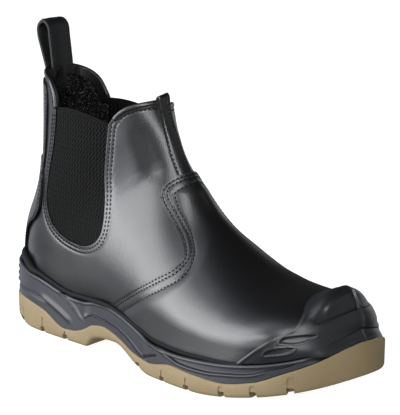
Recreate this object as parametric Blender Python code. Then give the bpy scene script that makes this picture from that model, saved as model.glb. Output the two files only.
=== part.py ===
# Pull-on safety boot for the right foot, empty and standing on its sole.
# +X points to the toe, -Y to the outer (lateral) side, +Z up. Tables are in millimetres.
from bisect import bisect_right
from math import cos, pi, radians, sin

import bmesh
import bpy
import numpy as np

MM = 0.001

# Driving sizes
LENGTH = 306.0           # sole, heel to toe
HEEL_BLUNTNESS = 9.0     # exponents of the plan outline's two ends
TOE_BLUNTNESS = 6.0
MEAN_HALF_WIDTH = 45.0   # turns an inset in millimetres into a scale across the sole
CORE_INSET = 40.0        # innermost ring of the sole's layers
RIM_INSET = 1.2          # midsole's top edge inside its outline
SIDE_LEAN = 0.08         # how far the midsole's side leans in for each millimetre of height
BALL_SKEW = 0.12         # sole heights follow lines that run obliquely across the foot
SEAT_GAP = 0.3           # clearance between pieces that touch
WALL = 2.2               # leather with its lining
VAMP_STEP = 1.2          # vamp over quarters
VAMP_HEM = 1.5           # vamp ends this far above the upper's lower edge
VAMP_HEM_STEPS = 9
VAMP_FRONT = 134.0       # vamp ends under the bumper
VAMP_UNDER_RIM = -75.0   # from here the vamp's step lies behind the midsole's rim,
VAMP_UNDER_RIM_RUN = 25.0  # fully so after this length
STRIP_STEP = 1.0         # strip down the front seam
STRIP_HALF = 5.5         # its half-width
STRIP_FOOT = 118.0       # height where it goes under the vamp
BUMPER_THICK = 2.6
BUMPER_END_T = 0.44      # section behind the bumper's rear edge
BACKSTAY_THICK = 1.3
GUSSET_SINK = 0.5        # elastic lies below the leather's face
GUSSET_THICK = 1.3
GUSSET_GAP = 0.42        # clearance round the elastic, measured towards its middle
FEATHER_INSET = 6.0      # upper's lower edge inside the sole's outline
TOE_TIP = 145.5          # upper's lower edge, foremost and rearmost
HEEL_TIP = 147.0
OUTSOLE_THICK = 7.0
OUTSOLE_WALL = 2.6       # thickness of the wall that wraps the midsole
BED_BELOW_SPLIT = 0.5    # outsole's bed stays this far below its wall's top edge
RIM_ABOVE_SPLIT = 1.2    # least height of the midsole's side
INSOLE_THICK = 4.0
INSOLE_INSET = 11.7      # insole's edge inside the sole's outline
LOOP_THICK = 2.2
LOOP_WIDTH = 17.5
BACK_RADIUS = 18.0       # bend of the back wall in plan, which the loop follows
LUG_SLOT = 4.6           # slots between the lugs
SLOT_REACH = 13.0        # how far a deep side slot runs in
SLOT_OVERRUN = 5.0       # how far its cutter runs out of the side
SLOT_LAP = 1.0           # overlap of the deep slots and the channel between them
SIDE_SLOT_DEPTH = 6.0
TREAD_DEPTH = 3.2
FAR = 200.0              # reach of the cutting forms beyond the boot
BELOW = -10.0            # where cutters of the sole start, under the floor
BESIDE = 8.0             # how far cutters run outside the sole's outline

HALF = LENGTH / 2

# Plan of the sole: centre line's swing and the half-widths on either side of it
PLAN_COLUMNS = ("x", "swing", "lateral", "medial")
PLAN_ROWS = (
    (-153, 0.0, 37.5, 37.5),
    (-110, 0.0, 39.0, 38.5),
    (-60, 0.0, 39.5, 36.0),
    (-15, 0.5, 47.5, 40.5),
    (30, 2.0, 57.0, 48.0),
    (65, 4.0, 61.0, 52.0),
    (100, 6.0, 60.0, 52.0),
    (153, 9.0, 56.0, 45.0),
)

# Heights along the sole: tread, top of the tan rubber, midsole rim, lower edge of the upper
SIDE_COLUMNS = ("x", "floor", "split", "rim", "feather")
SIDE_ROWS = (
    (-153, 6.0, 20.0, 49.0, 31.0),
    (-135, 2.0, 20.0, 45.5, 31.0),
    (-122, 0.0, 19.0, 41.5, 30.5),
    (-105, 0.0, 16.0, 37.5, 30.0),
    (-84, 0.0, 8.0, 33.0, 28.5),
    (-74, 0.0, 8.5, 32.5, 27.5),
    (-63, 0.0, 12.0, 33.0, 26.5),
    (-54, 7.0, 16.5, 34.0, 25.5),
    (-38, 10.5, 19.0, 34.5, 24.0),
    (-25, 11.5, 17.5, 33.0, 22.5),
    (0, 3.3, 11.0, 27.5, 19.0),
    (15, 0.0, 9.5, 23.5, 17.0),
    (40, 0.0, 13.5, 22.0, 15.0),
    (60, 0.0, 12.0, 22.5, 15.0),
    (80, 1.3, 11.0, 23.5, 15.5),
    (105, 5.0, 15.0, 26.5, 18.0),
    (125, 9.0, 23.0, 30.5, 22.0),
    (140, 13.0, 30.0, 35.0, 25.0),
    (153, 17.5, 39.5, 41.0, 28.0),
)

# Sections of the last from toe to collar. Each lies in the plane through a point of the front
# ridge and a point of the sole, or of the back seam once "lift" raises it off the sole.
# "widest" is where along that plane the half-widths hold; the powers shape the two arcs.
LAST_COLUMNS = ("t", "front_x", "front_z", "back_x", "lift", "lateral", "medial", "widest",
                "front_power", "side_power", "back_power")
LAST_ROWS = (
    (0.00, 145.8, 34.0, 144.3, 0, 47, 34, 0.60, 2.2, 1.90, 3.0),
    (0.04, 146.5, 43.0, 142.0, 0, 47, 34, 0.60, 2.2, 1.90, 3.0),
    (0.08, 144.0, 51.0, 136.0, 0, 47, 34, 0.60, 2.2, 1.90, 3.0),
    (0.13, 136.5, 57.0, 126.0, 0, 48, 35, 0.60, 2.2, 1.90, 3.0),
    (0.20, 119.0, 61.0, 107.0, 0, 51, 38, 0.60, 2.2, 1.80, 3.0),
    (0.28, 95.0, 65.0, 80.0, 0, 52, 40, 0.62, 2.1, 1.75, 3.0),
    (0.36, 70.0, 71.0, 50.0, 0, 51, 40, 0.64, 2.0, 1.70, 3.0),
    (0.44, 45.0, 81.0, 18.0, 0, 48, 38.5, 0.66, 2.0, 1.65, 3.0),
    (0.52, 22.0, 96.0, -20.0, 0, 43, 36.5, 0.68, 2.0, 1.60, 3.0),
    (0.60, 4.0, 115.5, -75.0, 0, 37, 35, 0.66, 2.0, 1.55, 3.0),
    (0.66, -8.0, 128.0, -125.0, 0, 35, 34, 0.64, 2.0, 1.60, 3.0),
    (0.685, -10.5, 133.0, -140.0, 0, 34.5, 33.5, 0.62, 2.0, 1.60, 3.0),
    (0.70, -12.0, 136.0, -147.0, 0, 34, 33, 0.60, 2.0, 1.65, 3.0),
    (0.76, -16.0, 144.0, -147.0, 27, 33, 32, 0.57, 2.0, 1.70, 2.8),
    (0.82, -19.0, 150.0, -140.0, 49, 32, 31, 0.54, 2.0, 1.75, 2.5),
    (0.88, -21.0, 157.0, -132.5, 74, 31, 30, 0.52, 2.0, 1.80, 2.3),
    (0.94, -22.5, 164.0, -131.0, 109, 30.5, 30, 0.50, 2.0, 1.75, 2.2),
    (1.00, -24.0, 174.0, -131.0, 147, 30, 30, 0.50, 2.0, 1.70, 2.2),
)
HEEL_T = 0.70            # section whose plane runs through the heel tip
TOE_ROUND_OFF = 60.0     # length over which the toe's width closes in
ROWS_PER_UNIT_T = 30
QUARTER_COLUMNS = 7      # facets from the ridge to the widest line, and on to the sole
RIDGE_COLUMN = 2 * QUARTER_COLUMNS
STRIP_COLUMNS = 4        # columns each side of the ridge that the front strip is cut from
GUSSET_MARGIN = 3        # columns between the ridge and the gussets
BACK_COLUMNS = 4         # columns each side of the back seam that the backstay is cut from
BACK_ROWS_BELOW = 4      # sections it starts below the heel's
OUTLINE_POINTS = 22      # along each side of the sole
LOOP_COLUMNS = 4         # points across the pull loop

# Side of the midsole from the tan rubber to the rim: share of that height and inset
MIDSOLE_SIDE = ((0.0, 0.6), (0.25, 0.2), (0.38, 1.4), (0.52, 1.2), (0.62, 0.2), (0.78, 0.4),
                (0.84, 1.6), (0.94, 1.0), (1.0, RIM_INSET))
# Side of the outsole: inset, the height it is measured from, and the rise above that
OUTSOLE_SIDE = ((CORE_INSET, "floor", 0.0), (3.5, "floor", 0.0), (1.2, "floor", 0.8),
                (0.3, "floor", 3.0), (0.0, "split", -1.0), (0.6, "split", 0.0),
                (OUTSOLE_WALL, "split", 0.0))

# Lines of the upper in side view, as a few points that a smooth curve runs through
COLLAR_BACK = ((-150, 173), (-131, 172.5), (-120, 168.5), (-112, 160), (-105, 151))
GUSSET_EDGE = ((-103, 151), (-106.5, 115), (-107.5, 92), (-101.5, 77.5), (-88, 69.5), (-70, 66.5),
               (-55, 69), (-47, 79), (-47.5, 95), (-50, 118), (-48, 151))
COLLAR_FRONT = ((-46.5, 151), (-43, 157), (-37, 161.8), (-29, 164.8), (-21, 166), (0, 166.5))
GUSSET_TOP = 150.5
VAMP_EDGE = ((-42, 28), (-27, 37), (-3, 51.5), (14, 61.5), (25.5, 69), (27.5, 75), (21, 82.5),
             (12, 90), (1, 99), (-5.5, 106), (-7, 112), (-4, 117), (3, 122), (20, 130))
BUMPER_EDGE = ((84, 10), (96, 21), (110, 33), (124, 44.5), (131, 52), (129, 57.5),
               (121.5, 62.5), (110, 69))
# Backstay seen from behind: height and half-width
BACKSTAY_COLUMNS = ("z", "half")
BACKSTAY_ROWS = ((48, 6.0), (66, 7.0), (73, 9.0), (79, 17.0), (98, 16.5), (110, 14.5), (114.5, 9.0))
# Pull loop's middle line in side view, from its outer tail over the top to its inner tail
LOOP_LINE = ((-132.7, 149), (-132.7, 160), (-133.0, 169), (-136.4, 181), (-139.9, 192), (-139.6, 199.5),
             (-134.6, 203.4), (-129.8, 200), (-128.6, 191), (-127.4, 180), (-126.5, 168), (-126.5, 157))
# Slots between the lugs, along the heel and along the forefoot
HEEL_SLOTS = (-132, -107, -83)
FOREFOOT_SLOTS = (3, 30, 54, 83, 106, 128)

# Colour, roughness, and the angle in degrees above which an edge is shaded sharp
FINISHES = {
    "outsole": ("A08D68", 0.62, 30),
    "midsole": ("3C3D42", 0.50, 35),
    "toe_bumper": ("26282B", 0.42, 35),
    "upper": ("1B1D1F", 0.30, 40),
    "gusset_lateral": ("141417", 0.85, 40),
    "gusset_medial": ("141417", 0.85, 40),
    "backstay": ("1B1D1F", 0.32, 35),
    "pull_loop": ("17181A", 0.38, 40),
    "insole": ("202022", 0.90, 40),
}


class Table:
    # Columns of numbers that a smooth curve without overshoot runs through
    def __init__(self, columns, rows):
        self.at_rows = [float(row[0]) for row in rows]
        self.columns = {name: [float(row[k]) for row in rows] for k, name in enumerate(columns)}

    def at(self, column, where):
        xs = self.at_rows
        ys = self.columns[column]
        where = min(max(where, xs[0]), xs[-1])
        k = min(max(bisect_right(xs, where) - 1, 0), len(xs) - 2)
        step = xs[k + 1] - xs[k]
        u = (where - xs[k]) / step
        start = self.slope(xs, ys, k) * step
        end = self.slope(xs, ys, k + 1) * step
        rise = ys[k + 1] - ys[k]
        return ys[k] + u * (start + u * (3 * rise - 2 * start - end + u * (start + end - 2 * rise)))

    @staticmethod
    def slope(xs, ys, k):
        if k == 0 or k == len(xs) - 1:
            j = min(k, len(xs) - 2)
            return (ys[j + 1] - ys[j]) / (xs[j + 1] - xs[j])
        before = (ys[k] - ys[k - 1]) / (xs[k] - xs[k - 1])
        after = (ys[k + 1] - ys[k]) / (xs[k + 1] - xs[k])
        if before * after <= 0:
            return 0.0
        return 2 * before * after / (before + after)


PLAN = Table(PLAN_COLUMNS, PLAN_ROWS)
SIDE = Table(SIDE_COLUMNS, SIDE_ROWS)
LAST = Table(LAST_COLUMNS, LAST_ROWS)
BACKSTAY = Table(BACKSTAY_COLUMNS, BACKSTAY_ROWS)


def smooth_line(points, steps=3):
    # Curve through hand-placed points, as a list with a few steps between each pair
    line = []
    count = len(points)
    for k in range(count - 1):
        a = np.array(points[max(k - 1, 0)], float)
        b = np.array(points[k], float)
        c = np.array(points[k + 1], float)
        d = np.array(points[min(k + 2, count - 1)], float)
        for s in range(steps):
            u = s / steps
            line.append(0.5 * (2 * b + (c - a) * u + (2 * a - 5 * b + 4 * c - d) * u * u
                               + (3 * b - a - 3 * c + d) * u ** 3))
    line.append(np.array(points[-1], float))
    return [tuple(p) for p in line]


def plan_point(x, side, inset):
    # Point of the sole's outline on one side (-1 lateral, +1 medial), drawn in by an inset
    power = HEEL_BLUNTNESS if x < 0 else TOE_BLUNTNESS
    closing = max(0.0, 1 - abs(x / HALF) ** power) ** 0.5
    half = PLAN.at("lateral" if side < 0 else "medial", x) * closing
    across = PLAN.at("swing", x) + side * half * (1 - inset / MEAN_HALF_WIDTH)
    return x * (1 - inset / HALF), across


def sole_height(column, x, y):
    return SIDE.at(column, x + BALL_SKEW * y)


def feather_y(x, side):
    # Where the upper meets the sole, at the same share of its own length as the sole's outline
    reach = TOE_TIP if x > 0 else HEEL_TIP
    return plan_point(max(-HALF, min(HALF, x * HALF / reach)), side, FEATHER_INSET)[1]


def last_section(t):
    # One section as points from the lateral sole edge over the ridge to the medial sole edge
    row = {name: LAST.at(name, t) for name in LAST_COLUMNS[1:]}
    back_z = SIDE.at("feather", row["back_x"]) + row["lift"]
    centre = PLAN.at("swing", row["front_x"])
    toe = min(1.0, (TOE_TIP - row["back_x"]) / TOE_ROUND_OFF)
    rounding = (1 - (1 - toe) ** 3) ** 0.5
    sides = {}
    for side, column in ((-1, "lateral"), (1, "medial")):
        half = row[column] * rounding
        end = 0.0
        if t < HEEL_T:
            end = min(1.0, max(0.0, abs(feather_y(row["back_x"], side) - centre) / half))
        points = []
        for k in range(2 * QUARTER_COLUMNS + 1):
            turn = k / QUARTER_COLUMNS * pi / 2
            if k <= QUARTER_COLUMNS:
                along = row["widest"] * (1 - max(0.0, cos(turn)) ** (2 / row["front_power"]))
                across = sin(turn) ** (2 / row["side_power"])
            else:
                rise = sin(turn - pi / 2)
                along = row["widest"] + (1 - row["widest"]) * rise ** (2 / row["back_power"])
                across = max(0.0, 1 - (1 - end ** 2) * rise ** 2) ** 0.5
            points.append((row["front_x"] + along * (row["back_x"] - row["front_x"]),
                           centre * (1 - along if t >= HEEL_T else 1) + side * half * across,
                           row["front_z"] + along * (back_z - row["front_z"])))
        sides[side] = points
    return sides[-1][:0:-1] + sides[1]


def section_stations():
    # Sections between the table's rows, closer together where the rows are
    stations = []
    rows = LAST.at_rows
    for a, b in zip(rows, rows[1:]):
        count = max(1, round((b - a) * ROWS_PER_UNIT_T))
        stations.extend(a + (b - a) * k / count for k in range(count))
    return stations + [rows[-1]]


def split_quad(a, b, c, d):
    # Two triangles with their diagonal from a to c, so that neighbouring skins fold alike
    return [face for face in ((a, b, c), (a, c, d)) if len(set(face)) == 3]


class LastSurface:
    # The last's outer face as a grid of points with outward directions
    def __init__(self):
        self.stations = section_stations()
        self.points = np.array([last_section(t) for t in self.stations])
        along = np.gradient(self.points, axis=0)
        across = np.gradient(self.points, axis=1)
        closed = [k for k, t in enumerate(self.stations) if t >= HEEL_T]
        for k in closed:
            seam = self.points[k, 1] - self.points[k, -2]
            across[k, 0] = seam
            across[k, -1] = seam
        outward = np.cross(across, along)
        outward /= np.linalg.norm(outward, axis=2, keepdims=True)
        self.outward = outward
        self.first_closed = closed[0]
        self.shape = self.points.shape[:2]

    def offset(self, amount):
        # amount is a distance, or a function of a point that gives one
        if callable(amount):
            flat = self.points.reshape(-1, 3)
            amount = np.array([amount(p) for p in flat]).reshape(*self.shape, 1)
        return self.points + self.outward * amount

    def index(self, i, j):
        # The two ends of a closed section are one point
        if i >= self.first_closed and j == self.shape[1] - 1:
            j = 0
        return i * self.shape[1] + j

    def faces(self, rows, columns):
        found = []
        for i in range(rows[0], rows[1]):
            for j in range(columns[0], columns[1]):
                found.extend(split_quad(self.index(i, j), self.index(i, j + 1),
                                        self.index(i + 1, j + 1), self.index(i + 1, j)))
        return found


def make_object(name, points, faces):
    mesh = bpy.data.meshes.new(name)
    used = sorted({k for face in faces for k in face})
    place = {k: n for n, k in enumerate(used)}
    mesh.from_pydata([tuple(c * MM for c in points[k]) for k in used], [],
                     [[place[k] for k in face] for face in faces])
    form = bmesh.new()
    form.from_mesh(mesh)
    bmesh.ops.recalc_face_normals(form, faces=form.faces)
    if form.calc_volume(signed=True) < 0:
        bmesh.ops.reverse_faces(form, faces=form.faces)
    form.to_mesh(mesh)
    form.free()
    piece = bpy.data.objects.new(name, mesh)
    bpy.context.scene.collection.objects.link(piece)
    return piece


def shell(name, last, low, high, rows=None, columns=None):
    # Closed form between two offsets of the last, over a range of sections and columns
    rows = rows or (0, last.shape[0] - 1)
    columns = columns or (0, last.shape[1] - 1)
    outer = last.offset(high).reshape(-1, 3)
    inner = last.offset(low).reshape(-1, 3)
    total = len(outer)
    skin = last.faces(rows, columns)
    sides = {}
    for face in skin:
        for a, b in zip(face, face[1:] + face[:1]):
            sides[(a, b)] = True
    faces = list(skin)
    faces.extend(tuple(k + total for k in reversed(face)) for face in skin)
    for a, b in sides:
        if (b, a) not in sides:
            faces.append((b, a, a + total, b + total))
    return make_object(name, list(outer) + list(inner), faces)


def filled_last(name, last, amount):
    # The last grown by an amount and closed below, at the toe and at the collar
    points = last.offset(amount)
    end = last.shape[1] - 1
    open_rows = slice(0, last.first_closed + 1)
    for edge in (0, end):
        points[open_rows, edge, 2] = last.points[open_rows, edge, 2] - SEAT_GAP
    faces = last.faces((0, last.shape[0] - 1), (0, end))
    for i in range(last.first_closed):
        faces.extend(split_quad(last.index(i, 0), last.index(i + 1, 0),
                                last.index(i + 1, end), last.index(i, end)))
    faces.append(tuple(last.index(0, j) for j in range(end + 1)))
    faces.append(tuple(last.index(last.shape[0] - 1, j) for j in range(end)))
    return make_object(name, list(points.reshape(-1, 3)), faces)


def outline_ring(inset):
    # Once round the sole, from the heel along the lateral side to the toe and back.
    # The inset is a distance, or a function of x that gives one.
    ring = []
    for side, order in ((-1, range(OUTLINE_POINTS)), (1, range(OUTLINE_POINTS, 0, -1))):
        for k in order:
            x = -HALF * cos(pi * k / OUTLINE_POINTS)
            ring.append(plan_point(x, side, inset(x) if callable(inset) else inset))
    return ring


def sole_layer(name, stations):
    # Closed form from rings that are drawn in by an inset, each with its own height function.
    # The first and last ring are capped across the sole by strips.
    points = []
    faces = []
    count = 2 * OUTLINE_POINTS
    for inset, height in stations:
        for x, y in outline_ring(inset):
            points.append((x, y, height(x, y)))
    for ring in range(len(stations) - 1):
        inwards = points[(ring + 1) * count][0] >= points[ring * count][0]
        for k in range(count):
            a = ring * count + k
            b = ring * count + (k + 1) % count
            faces.extend(split_quad(a, b, b + count, a + count) if inwards
                         else split_quad(a + count, a, b, b + count))
    for first in (0, (len(stations) - 1) * count):
        for k in range(OUTLINE_POINTS):
            faces.extend(split_quad(first + k, first + k + 1,
                                    first + (count - k - 1) % count, first + (count - k) % count))
    return make_object(name, points, faces)


def prism(name, outline, axis):
    # A closed outline in side view (axis y) or back view (axis x), run right through the boot
    count = len(outline)
    points = []
    for reach in (-FAR, FAR):
        for a, z in outline:
            points.append((a, reach, z) if axis == "y" else (reach, a, z))
    faces = [tuple(range(count)), tuple(range(2 * count - 1, count - 1, -1))]
    faces.extend((k, (k + 1) % count, (k + 1) % count + count, k + count) for k in range(count))
    return make_object(name, points, faces)


def cut(piece, tool, kind):
    tool.hide_render = True
    tool.display_type = 'WIRE'
    step = piece.modifiers.new(kind.lower() + "_" + tool.name, 'BOOLEAN')
    step.operation = kind
    step.object = tool
    step.solver = 'EXACT'
    return step


def finish(piece):
    colour, roughness, crease_degrees = FINISHES[piece.name]
    material = bpy.data.materials.new(piece.name)
    material.use_nodes = True
    shader = material.node_tree.nodes["Principled BSDF"]
    channels = [int(colour[k:k + 2], 16) / 255 for k in (0, 2, 4)]
    linear = [c / 12.92 if c <= 0.04045 else ((c + 0.055) / 1.055) ** 2.4 for c in channels]
    shader.inputs["Base Color"].default_value = (*linear, 1.0)
    shader.inputs["Roughness"].default_value = roughness
    shader.inputs["Metallic"].default_value = 0.0
    piece.data.materials.append(material)
    piece.data.shade_smooth()
    piece.data.set_sharp_from_angle(angle=radians(crease_degrees))


def make_upper(last):
    upper = shell("upper", last, -WALL, 0.0)
    vamp = shell("vamp_overlay", last, -WALL / 3, VAMP_STEP, rows=(0, last.first_closed - 1))
    stretch = VAMP_FRONT - VAMP_EDGE[0][0]
    hem = [VAMP_FRONT - stretch * k / VAMP_HEM_STEPS for k in range(VAMP_HEM_STEPS)]
    vamp_side = smooth_line(VAMP_EDGE) + [(VAMP_FRONT, VAMP_EDGE[-1][1])]
    vamp_side += [(x, SIDE.at("feather", x) + VAMP_HEM) for x in hem]
    cut(vamp, prism("vamp_side", vamp_side, "y"), 'INTERSECT')
    cut(upper, vamp, 'UNION')
    strip = shell("front_strip", last, -WALL / 2, STRIP_STEP, rows=(1, last.shape[0] - 2),
                  columns=(RIDGE_COLUMN - STRIP_COLUMNS, RIDGE_COLUMN + STRIP_COLUMNS))
    strip_back = ((-STRIP_HALF, STRIP_FOOT), (STRIP_HALF, STRIP_FOOT), (STRIP_HALF, FAR), (-STRIP_HALF, FAR))
    cut(strip, prism("strip_width", strip_back, "x"), 'INTERSECT')
    cut(upper, strip, 'UNION')
    collar = smooth_line(COLLAR_BACK) + smooth_line(GUSSET_EDGE) + smooth_line(COLLAR_FRONT)
    above = [(COLLAR_FRONT[-1][0], FAR), (COLLAR_BACK[0][0], FAR)]
    cut(upper, prism("collar_and_gussets", collar + above, "y"), 'DIFFERENCE')
    finish(upper)


def make_gussets(last):
    low = -GUSSET_SINK - GUSSET_THICK
    near_ridge = RIDGE_COLUMN - GUSSET_MARGIN
    spans = {
        "gusset_lateral": (1, near_ridge),
        "gusset_medial": (2 * RIDGE_COLUMN - near_ridge, 2 * RIDGE_COLUMN - 1),
    }
    edge = smooth_line(GUSSET_EDGE)
    centre = np.mean(np.array(edge), axis=0)
    drawn_in = []
    for x, z in edge:
        away = np.array((x, z)) - centre
        x, z = centre + away * (1 - GUSSET_GAP / np.linalg.norm(away))
        drawn_in.append((x, min(z, GUSSET_TOP)))
    for name, columns in spans.items():
        panel = shell(name, last, low, -GUSSET_SINK, columns=columns)
        cut(panel, prism(name + "_side", drawn_in, "y"), 'INTERSECT')
        finish(panel)


def rim_height(x, y):
    return max(sole_height("rim", x, y), sole_height("split", x, y) + RIM_ABOVE_SPLIT)


def lean(inset, share):
    # The midsole's side leans in as it rises, so most at the tall heel
    def drawn_in(x):
        return inset + share * SIDE_LEAN * (SIDE.at("rim", x) - SIDE.at("split", x))
    return drawn_in


def below_rim(name):
    # All that lies under the midsole's rim, with the seat's clearance, and a little way outside it
    def above_rim(x, y):
        return rim_height(x, y) + SEAT_GAP

    return sole_layer(name, (
        (-BESIDE, lambda x, y: BELOW),
        (-BESIDE, above_rim),
        (lean(RIM_INSET, 1.0), above_rim),
        (CORE_INSET, above_rim),
    ))


def make_bumper(last):
    low = VAMP_STEP + SEAT_GAP
    end = next(k for k, t in enumerate(last.stations) if t >= BUMPER_END_T)
    bumper = shell("toe_bumper", last, low, low + BUMPER_THICK, rows=(0, end))
    side = smooth_line(BUMPER_EDGE) + [(FAR, BUMPER_EDGE[-1][1]), (FAR, BUMPER_EDGE[0][1])]
    cut(bumper, prism("bumper_side", side, "y"), 'INTERSECT')
    cut(bumper, below_rim("below_bumper"), 'DIFFERENCE')
    finish(bumper)


def make_backstay(last):
    # A strip of columns on each side of the back seam, joined there
    rows = (last.first_closed - BACK_ROWS_BELOW, last.shape[0] - 1)
    end = last.shape[1] - 1
    backstay = shell("backstay", last, SEAT_GAP, SEAT_GAP + BACKSTAY_THICK, rows, (0, BACK_COLUMNS))
    other = shell("backstay_medial_half", last, SEAT_GAP, SEAT_GAP + BACKSTAY_THICK, rows,
                  (end - BACK_COLUMNS, end))
    cut(backstay, other, 'UNION')
    lowest = BACKSTAY_ROWS[0][0]
    highest = BACKSTAY_ROWS[-1][0]
    count = 4 * len(BACKSTAY_ROWS)
    levels = [lowest + (highest - lowest) * k / count for k in range(count + 1)]
    outline = [(BACKSTAY.at("half", z), z) for z in levels]
    outline += [(-half, z) for half, z in reversed(outline)]
    cut(backstay, prism("backstay_width", outline, "x"), 'INTERSECT')
    cut(backstay, below_rim("below_backstay"), 'DIFFERENCE')
    finish(backstay)


def make_loop():
    line = smooth_line(LOOP_LINE, 2)
    across = LOOP_COLUMNS
    points = []
    for k, (x, z) in enumerate(line):
        before = np.array(line[max(k - 1, 0)])
        after = np.array(line[min(k + 1, len(line) - 1)])
        run = (after - before) / np.linalg.norm(after - before)
        for face in (-0.5, 0.5):
            for j in range(across):
                y = LOOP_WIDTH * (j / (across - 1) - 0.5)
                bend = y * y / (2 * BACK_RADIUS)
                points.append((x - run[1] * face * LOOP_THICK + bend, y, z + run[0] * face * LOOP_THICK))
    faces = []
    ring = [*range(across), *range(2 * across - 1, across - 1, -1)]
    for k in range(len(line) - 1):
        for a, b in zip(ring, ring[1:] + ring[:1]):
            faces.append((2 * across * k + a, 2 * across * k + b,
                          2 * across * (k + 1) + b, 2 * across * (k + 1) + a))
    faces.append(tuple(ring))
    faces.append(tuple(2 * across * (len(line) - 1) + a for a in reversed(ring)))
    finish(make_object("pull_loop", points, faces))


def bed_height(x, y):
    # Top of the outsole under the midsole
    return min(sole_height("floor", x, y) + OUTSOLE_THICK, sole_height("split", x, y) - BED_BELOW_SPLIT)


def height_above(column, rise):
    return lambda x, y: sole_height(column, x, y) + rise


def make_outsole():
    stations = [(inset, height_above(column, rise)) for inset, column, rise in OUTSOLE_SIDE]
    outsole = sole_layer("outsole", stations + [(OUTSOLE_WALL, bed_height), (CORE_INSET, bed_height)])
    cut(outsole, tread_slots(), 'DIFFERENCE').use_self = True
    finish(outsole)


def tread_slots():
    # Shallow channels right across the tread, deep slots at their ends, and a groove down the
    # middle of the heel and of the forefoot that parts the bars into lugs
    points = []
    faces = []

    def block(corners, heights):
        first = len(points)
        points.extend((x, y, BELOW) for x, y in corners)
        points.extend((x, y, z) for (x, y), z in zip(corners, heights))
        faces.extend(tuple(first + k for k in face) for face in
                     ((3, 2, 1, 0), (4, 5, 6, 7), (0, 1, 5, 4), (1, 2, 6, 5), (2, 3, 7, 6), (3, 0, 4, 7)))

    def slot(s, y0, y1, depth):
        half = LUG_SLOT / 2
        x0 = s - BALL_SKEW * y0
        x1 = s - BALL_SKEW * y1
        top = SIDE.at("floor", s) + depth
        block([(x0 - half, y0), (x0 + half, y0), (x1 + half, y1), (x1 - half, y1)], [top] * 4)

    def groove(s0, s1):
        half = LUG_SLOT / 2
        y0 = PLAN.at("swing", s0)
        y1 = PLAN.at("swing", s1)
        top0 = SIDE.at("floor", s0) + TREAD_DEPTH
        top1 = SIDE.at("floor", s1) + TREAD_DEPTH
        block([(s0, y0 - half), (s1, y1 - half), (s1, y1 + half), (s0, y0 + half)], [top0, top1, top1, top0])

    for group in (HEEL_SLOTS, FOREFOOT_SLOTS):
        for s in group:
            lateral = plan_point(s, -1, 0.0)[1]
            medial = plan_point(s, 1, 0.0)[1]
            slot(s, lateral - SLOT_OVERRUN, lateral + SLOT_REACH, SIDE_SLOT_DEPTH)
            slot(s, medial - SLOT_REACH, medial + SLOT_OVERRUN, SIDE_SLOT_DEPTH)
            slot(s, lateral + SLOT_REACH - SLOT_LAP, medial - SLOT_REACH + SLOT_LAP, TREAD_DEPTH)
        for s, following in zip(group, group[1:]):
            groove(s, following)
    return make_object("tread_slots", points, faces)


def make_midsole(last):
    inside = OUTSOLE_WALL + SEAT_GAP

    def side(share):
        # A height part of the way from the tan rubber up to the rim
        def height(x, y):
            low = sole_height("split", x, y) + SEAT_GAP
            return low + (rim_height(x, y) - low) * share
        return height

    def underside(x, y):
        return bed_height(x, y) + SEAT_GAP

    stations = [(CORE_INSET, underside), (inside, underside), (inside, side(0.0))]
    stations += [(lean(inset, share), side(share)) for share, inset in MIDSOLE_SIDE]
    midsole = sole_layer("midsole", stations + [(CORE_INSET, side(1.0))])

    def clearance(point):
        # Wider where the vamp's step lies behind the rim
        blend = min(1.0, max(0.0, (point[0] - VAMP_UNDER_RIM) / VAMP_UNDER_RIM_RUN))
        return SEAT_GAP + VAMP_STEP * blend * blend * (3 - 2 * blend)

    cut(midsole, filled_last("foot_room", last, clearance), 'DIFFERENCE')
    finish(midsole)


def make_insole():
    def underside(x, y):
        return SIDE.at("feather", x) + SEAT_GAP

    def top(x, y):
        return SIDE.at("feather", x) + INSOLE_THICK

    finish(sole_layer("insole", ((CORE_INSET, underside), (INSOLE_INSET, underside),
                                 (INSOLE_INSET, top), (CORE_INSET, top))))


def main():
    for old in list(bpy.data.objects):
        bpy.data.objects.remove(old, do_unlink=True)
    last = LastSurface()
    make_outsole()
    make_midsole(last)
    make_insole()
    make_upper(last)
    make_gussets(last)
    make_bumper(last)
    make_backstay(last)
    make_loop()


main()
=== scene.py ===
from math import cos, pi, radians, sin

import bmesh
import bpy
import numpy as np
from mathutils import Matrix, Vector
from mathutils.kdtree import KDTree


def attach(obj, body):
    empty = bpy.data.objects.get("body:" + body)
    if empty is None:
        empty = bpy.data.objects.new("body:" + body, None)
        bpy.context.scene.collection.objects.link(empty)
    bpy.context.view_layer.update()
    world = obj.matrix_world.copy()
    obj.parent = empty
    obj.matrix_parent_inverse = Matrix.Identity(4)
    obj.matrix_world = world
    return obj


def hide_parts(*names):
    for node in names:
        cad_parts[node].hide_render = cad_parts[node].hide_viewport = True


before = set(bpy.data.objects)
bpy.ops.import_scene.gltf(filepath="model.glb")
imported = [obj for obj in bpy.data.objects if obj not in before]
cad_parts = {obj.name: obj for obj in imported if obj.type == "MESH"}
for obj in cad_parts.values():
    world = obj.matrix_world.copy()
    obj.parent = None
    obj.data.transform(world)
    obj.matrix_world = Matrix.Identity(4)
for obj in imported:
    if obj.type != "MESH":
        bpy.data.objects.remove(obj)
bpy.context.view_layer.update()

bpy.ops.object.select_all(action="DESELECT")
mm = 0.001  # every table below is in millimetres
print("frame loaded:", ", ".join(sorted(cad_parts)))

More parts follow.
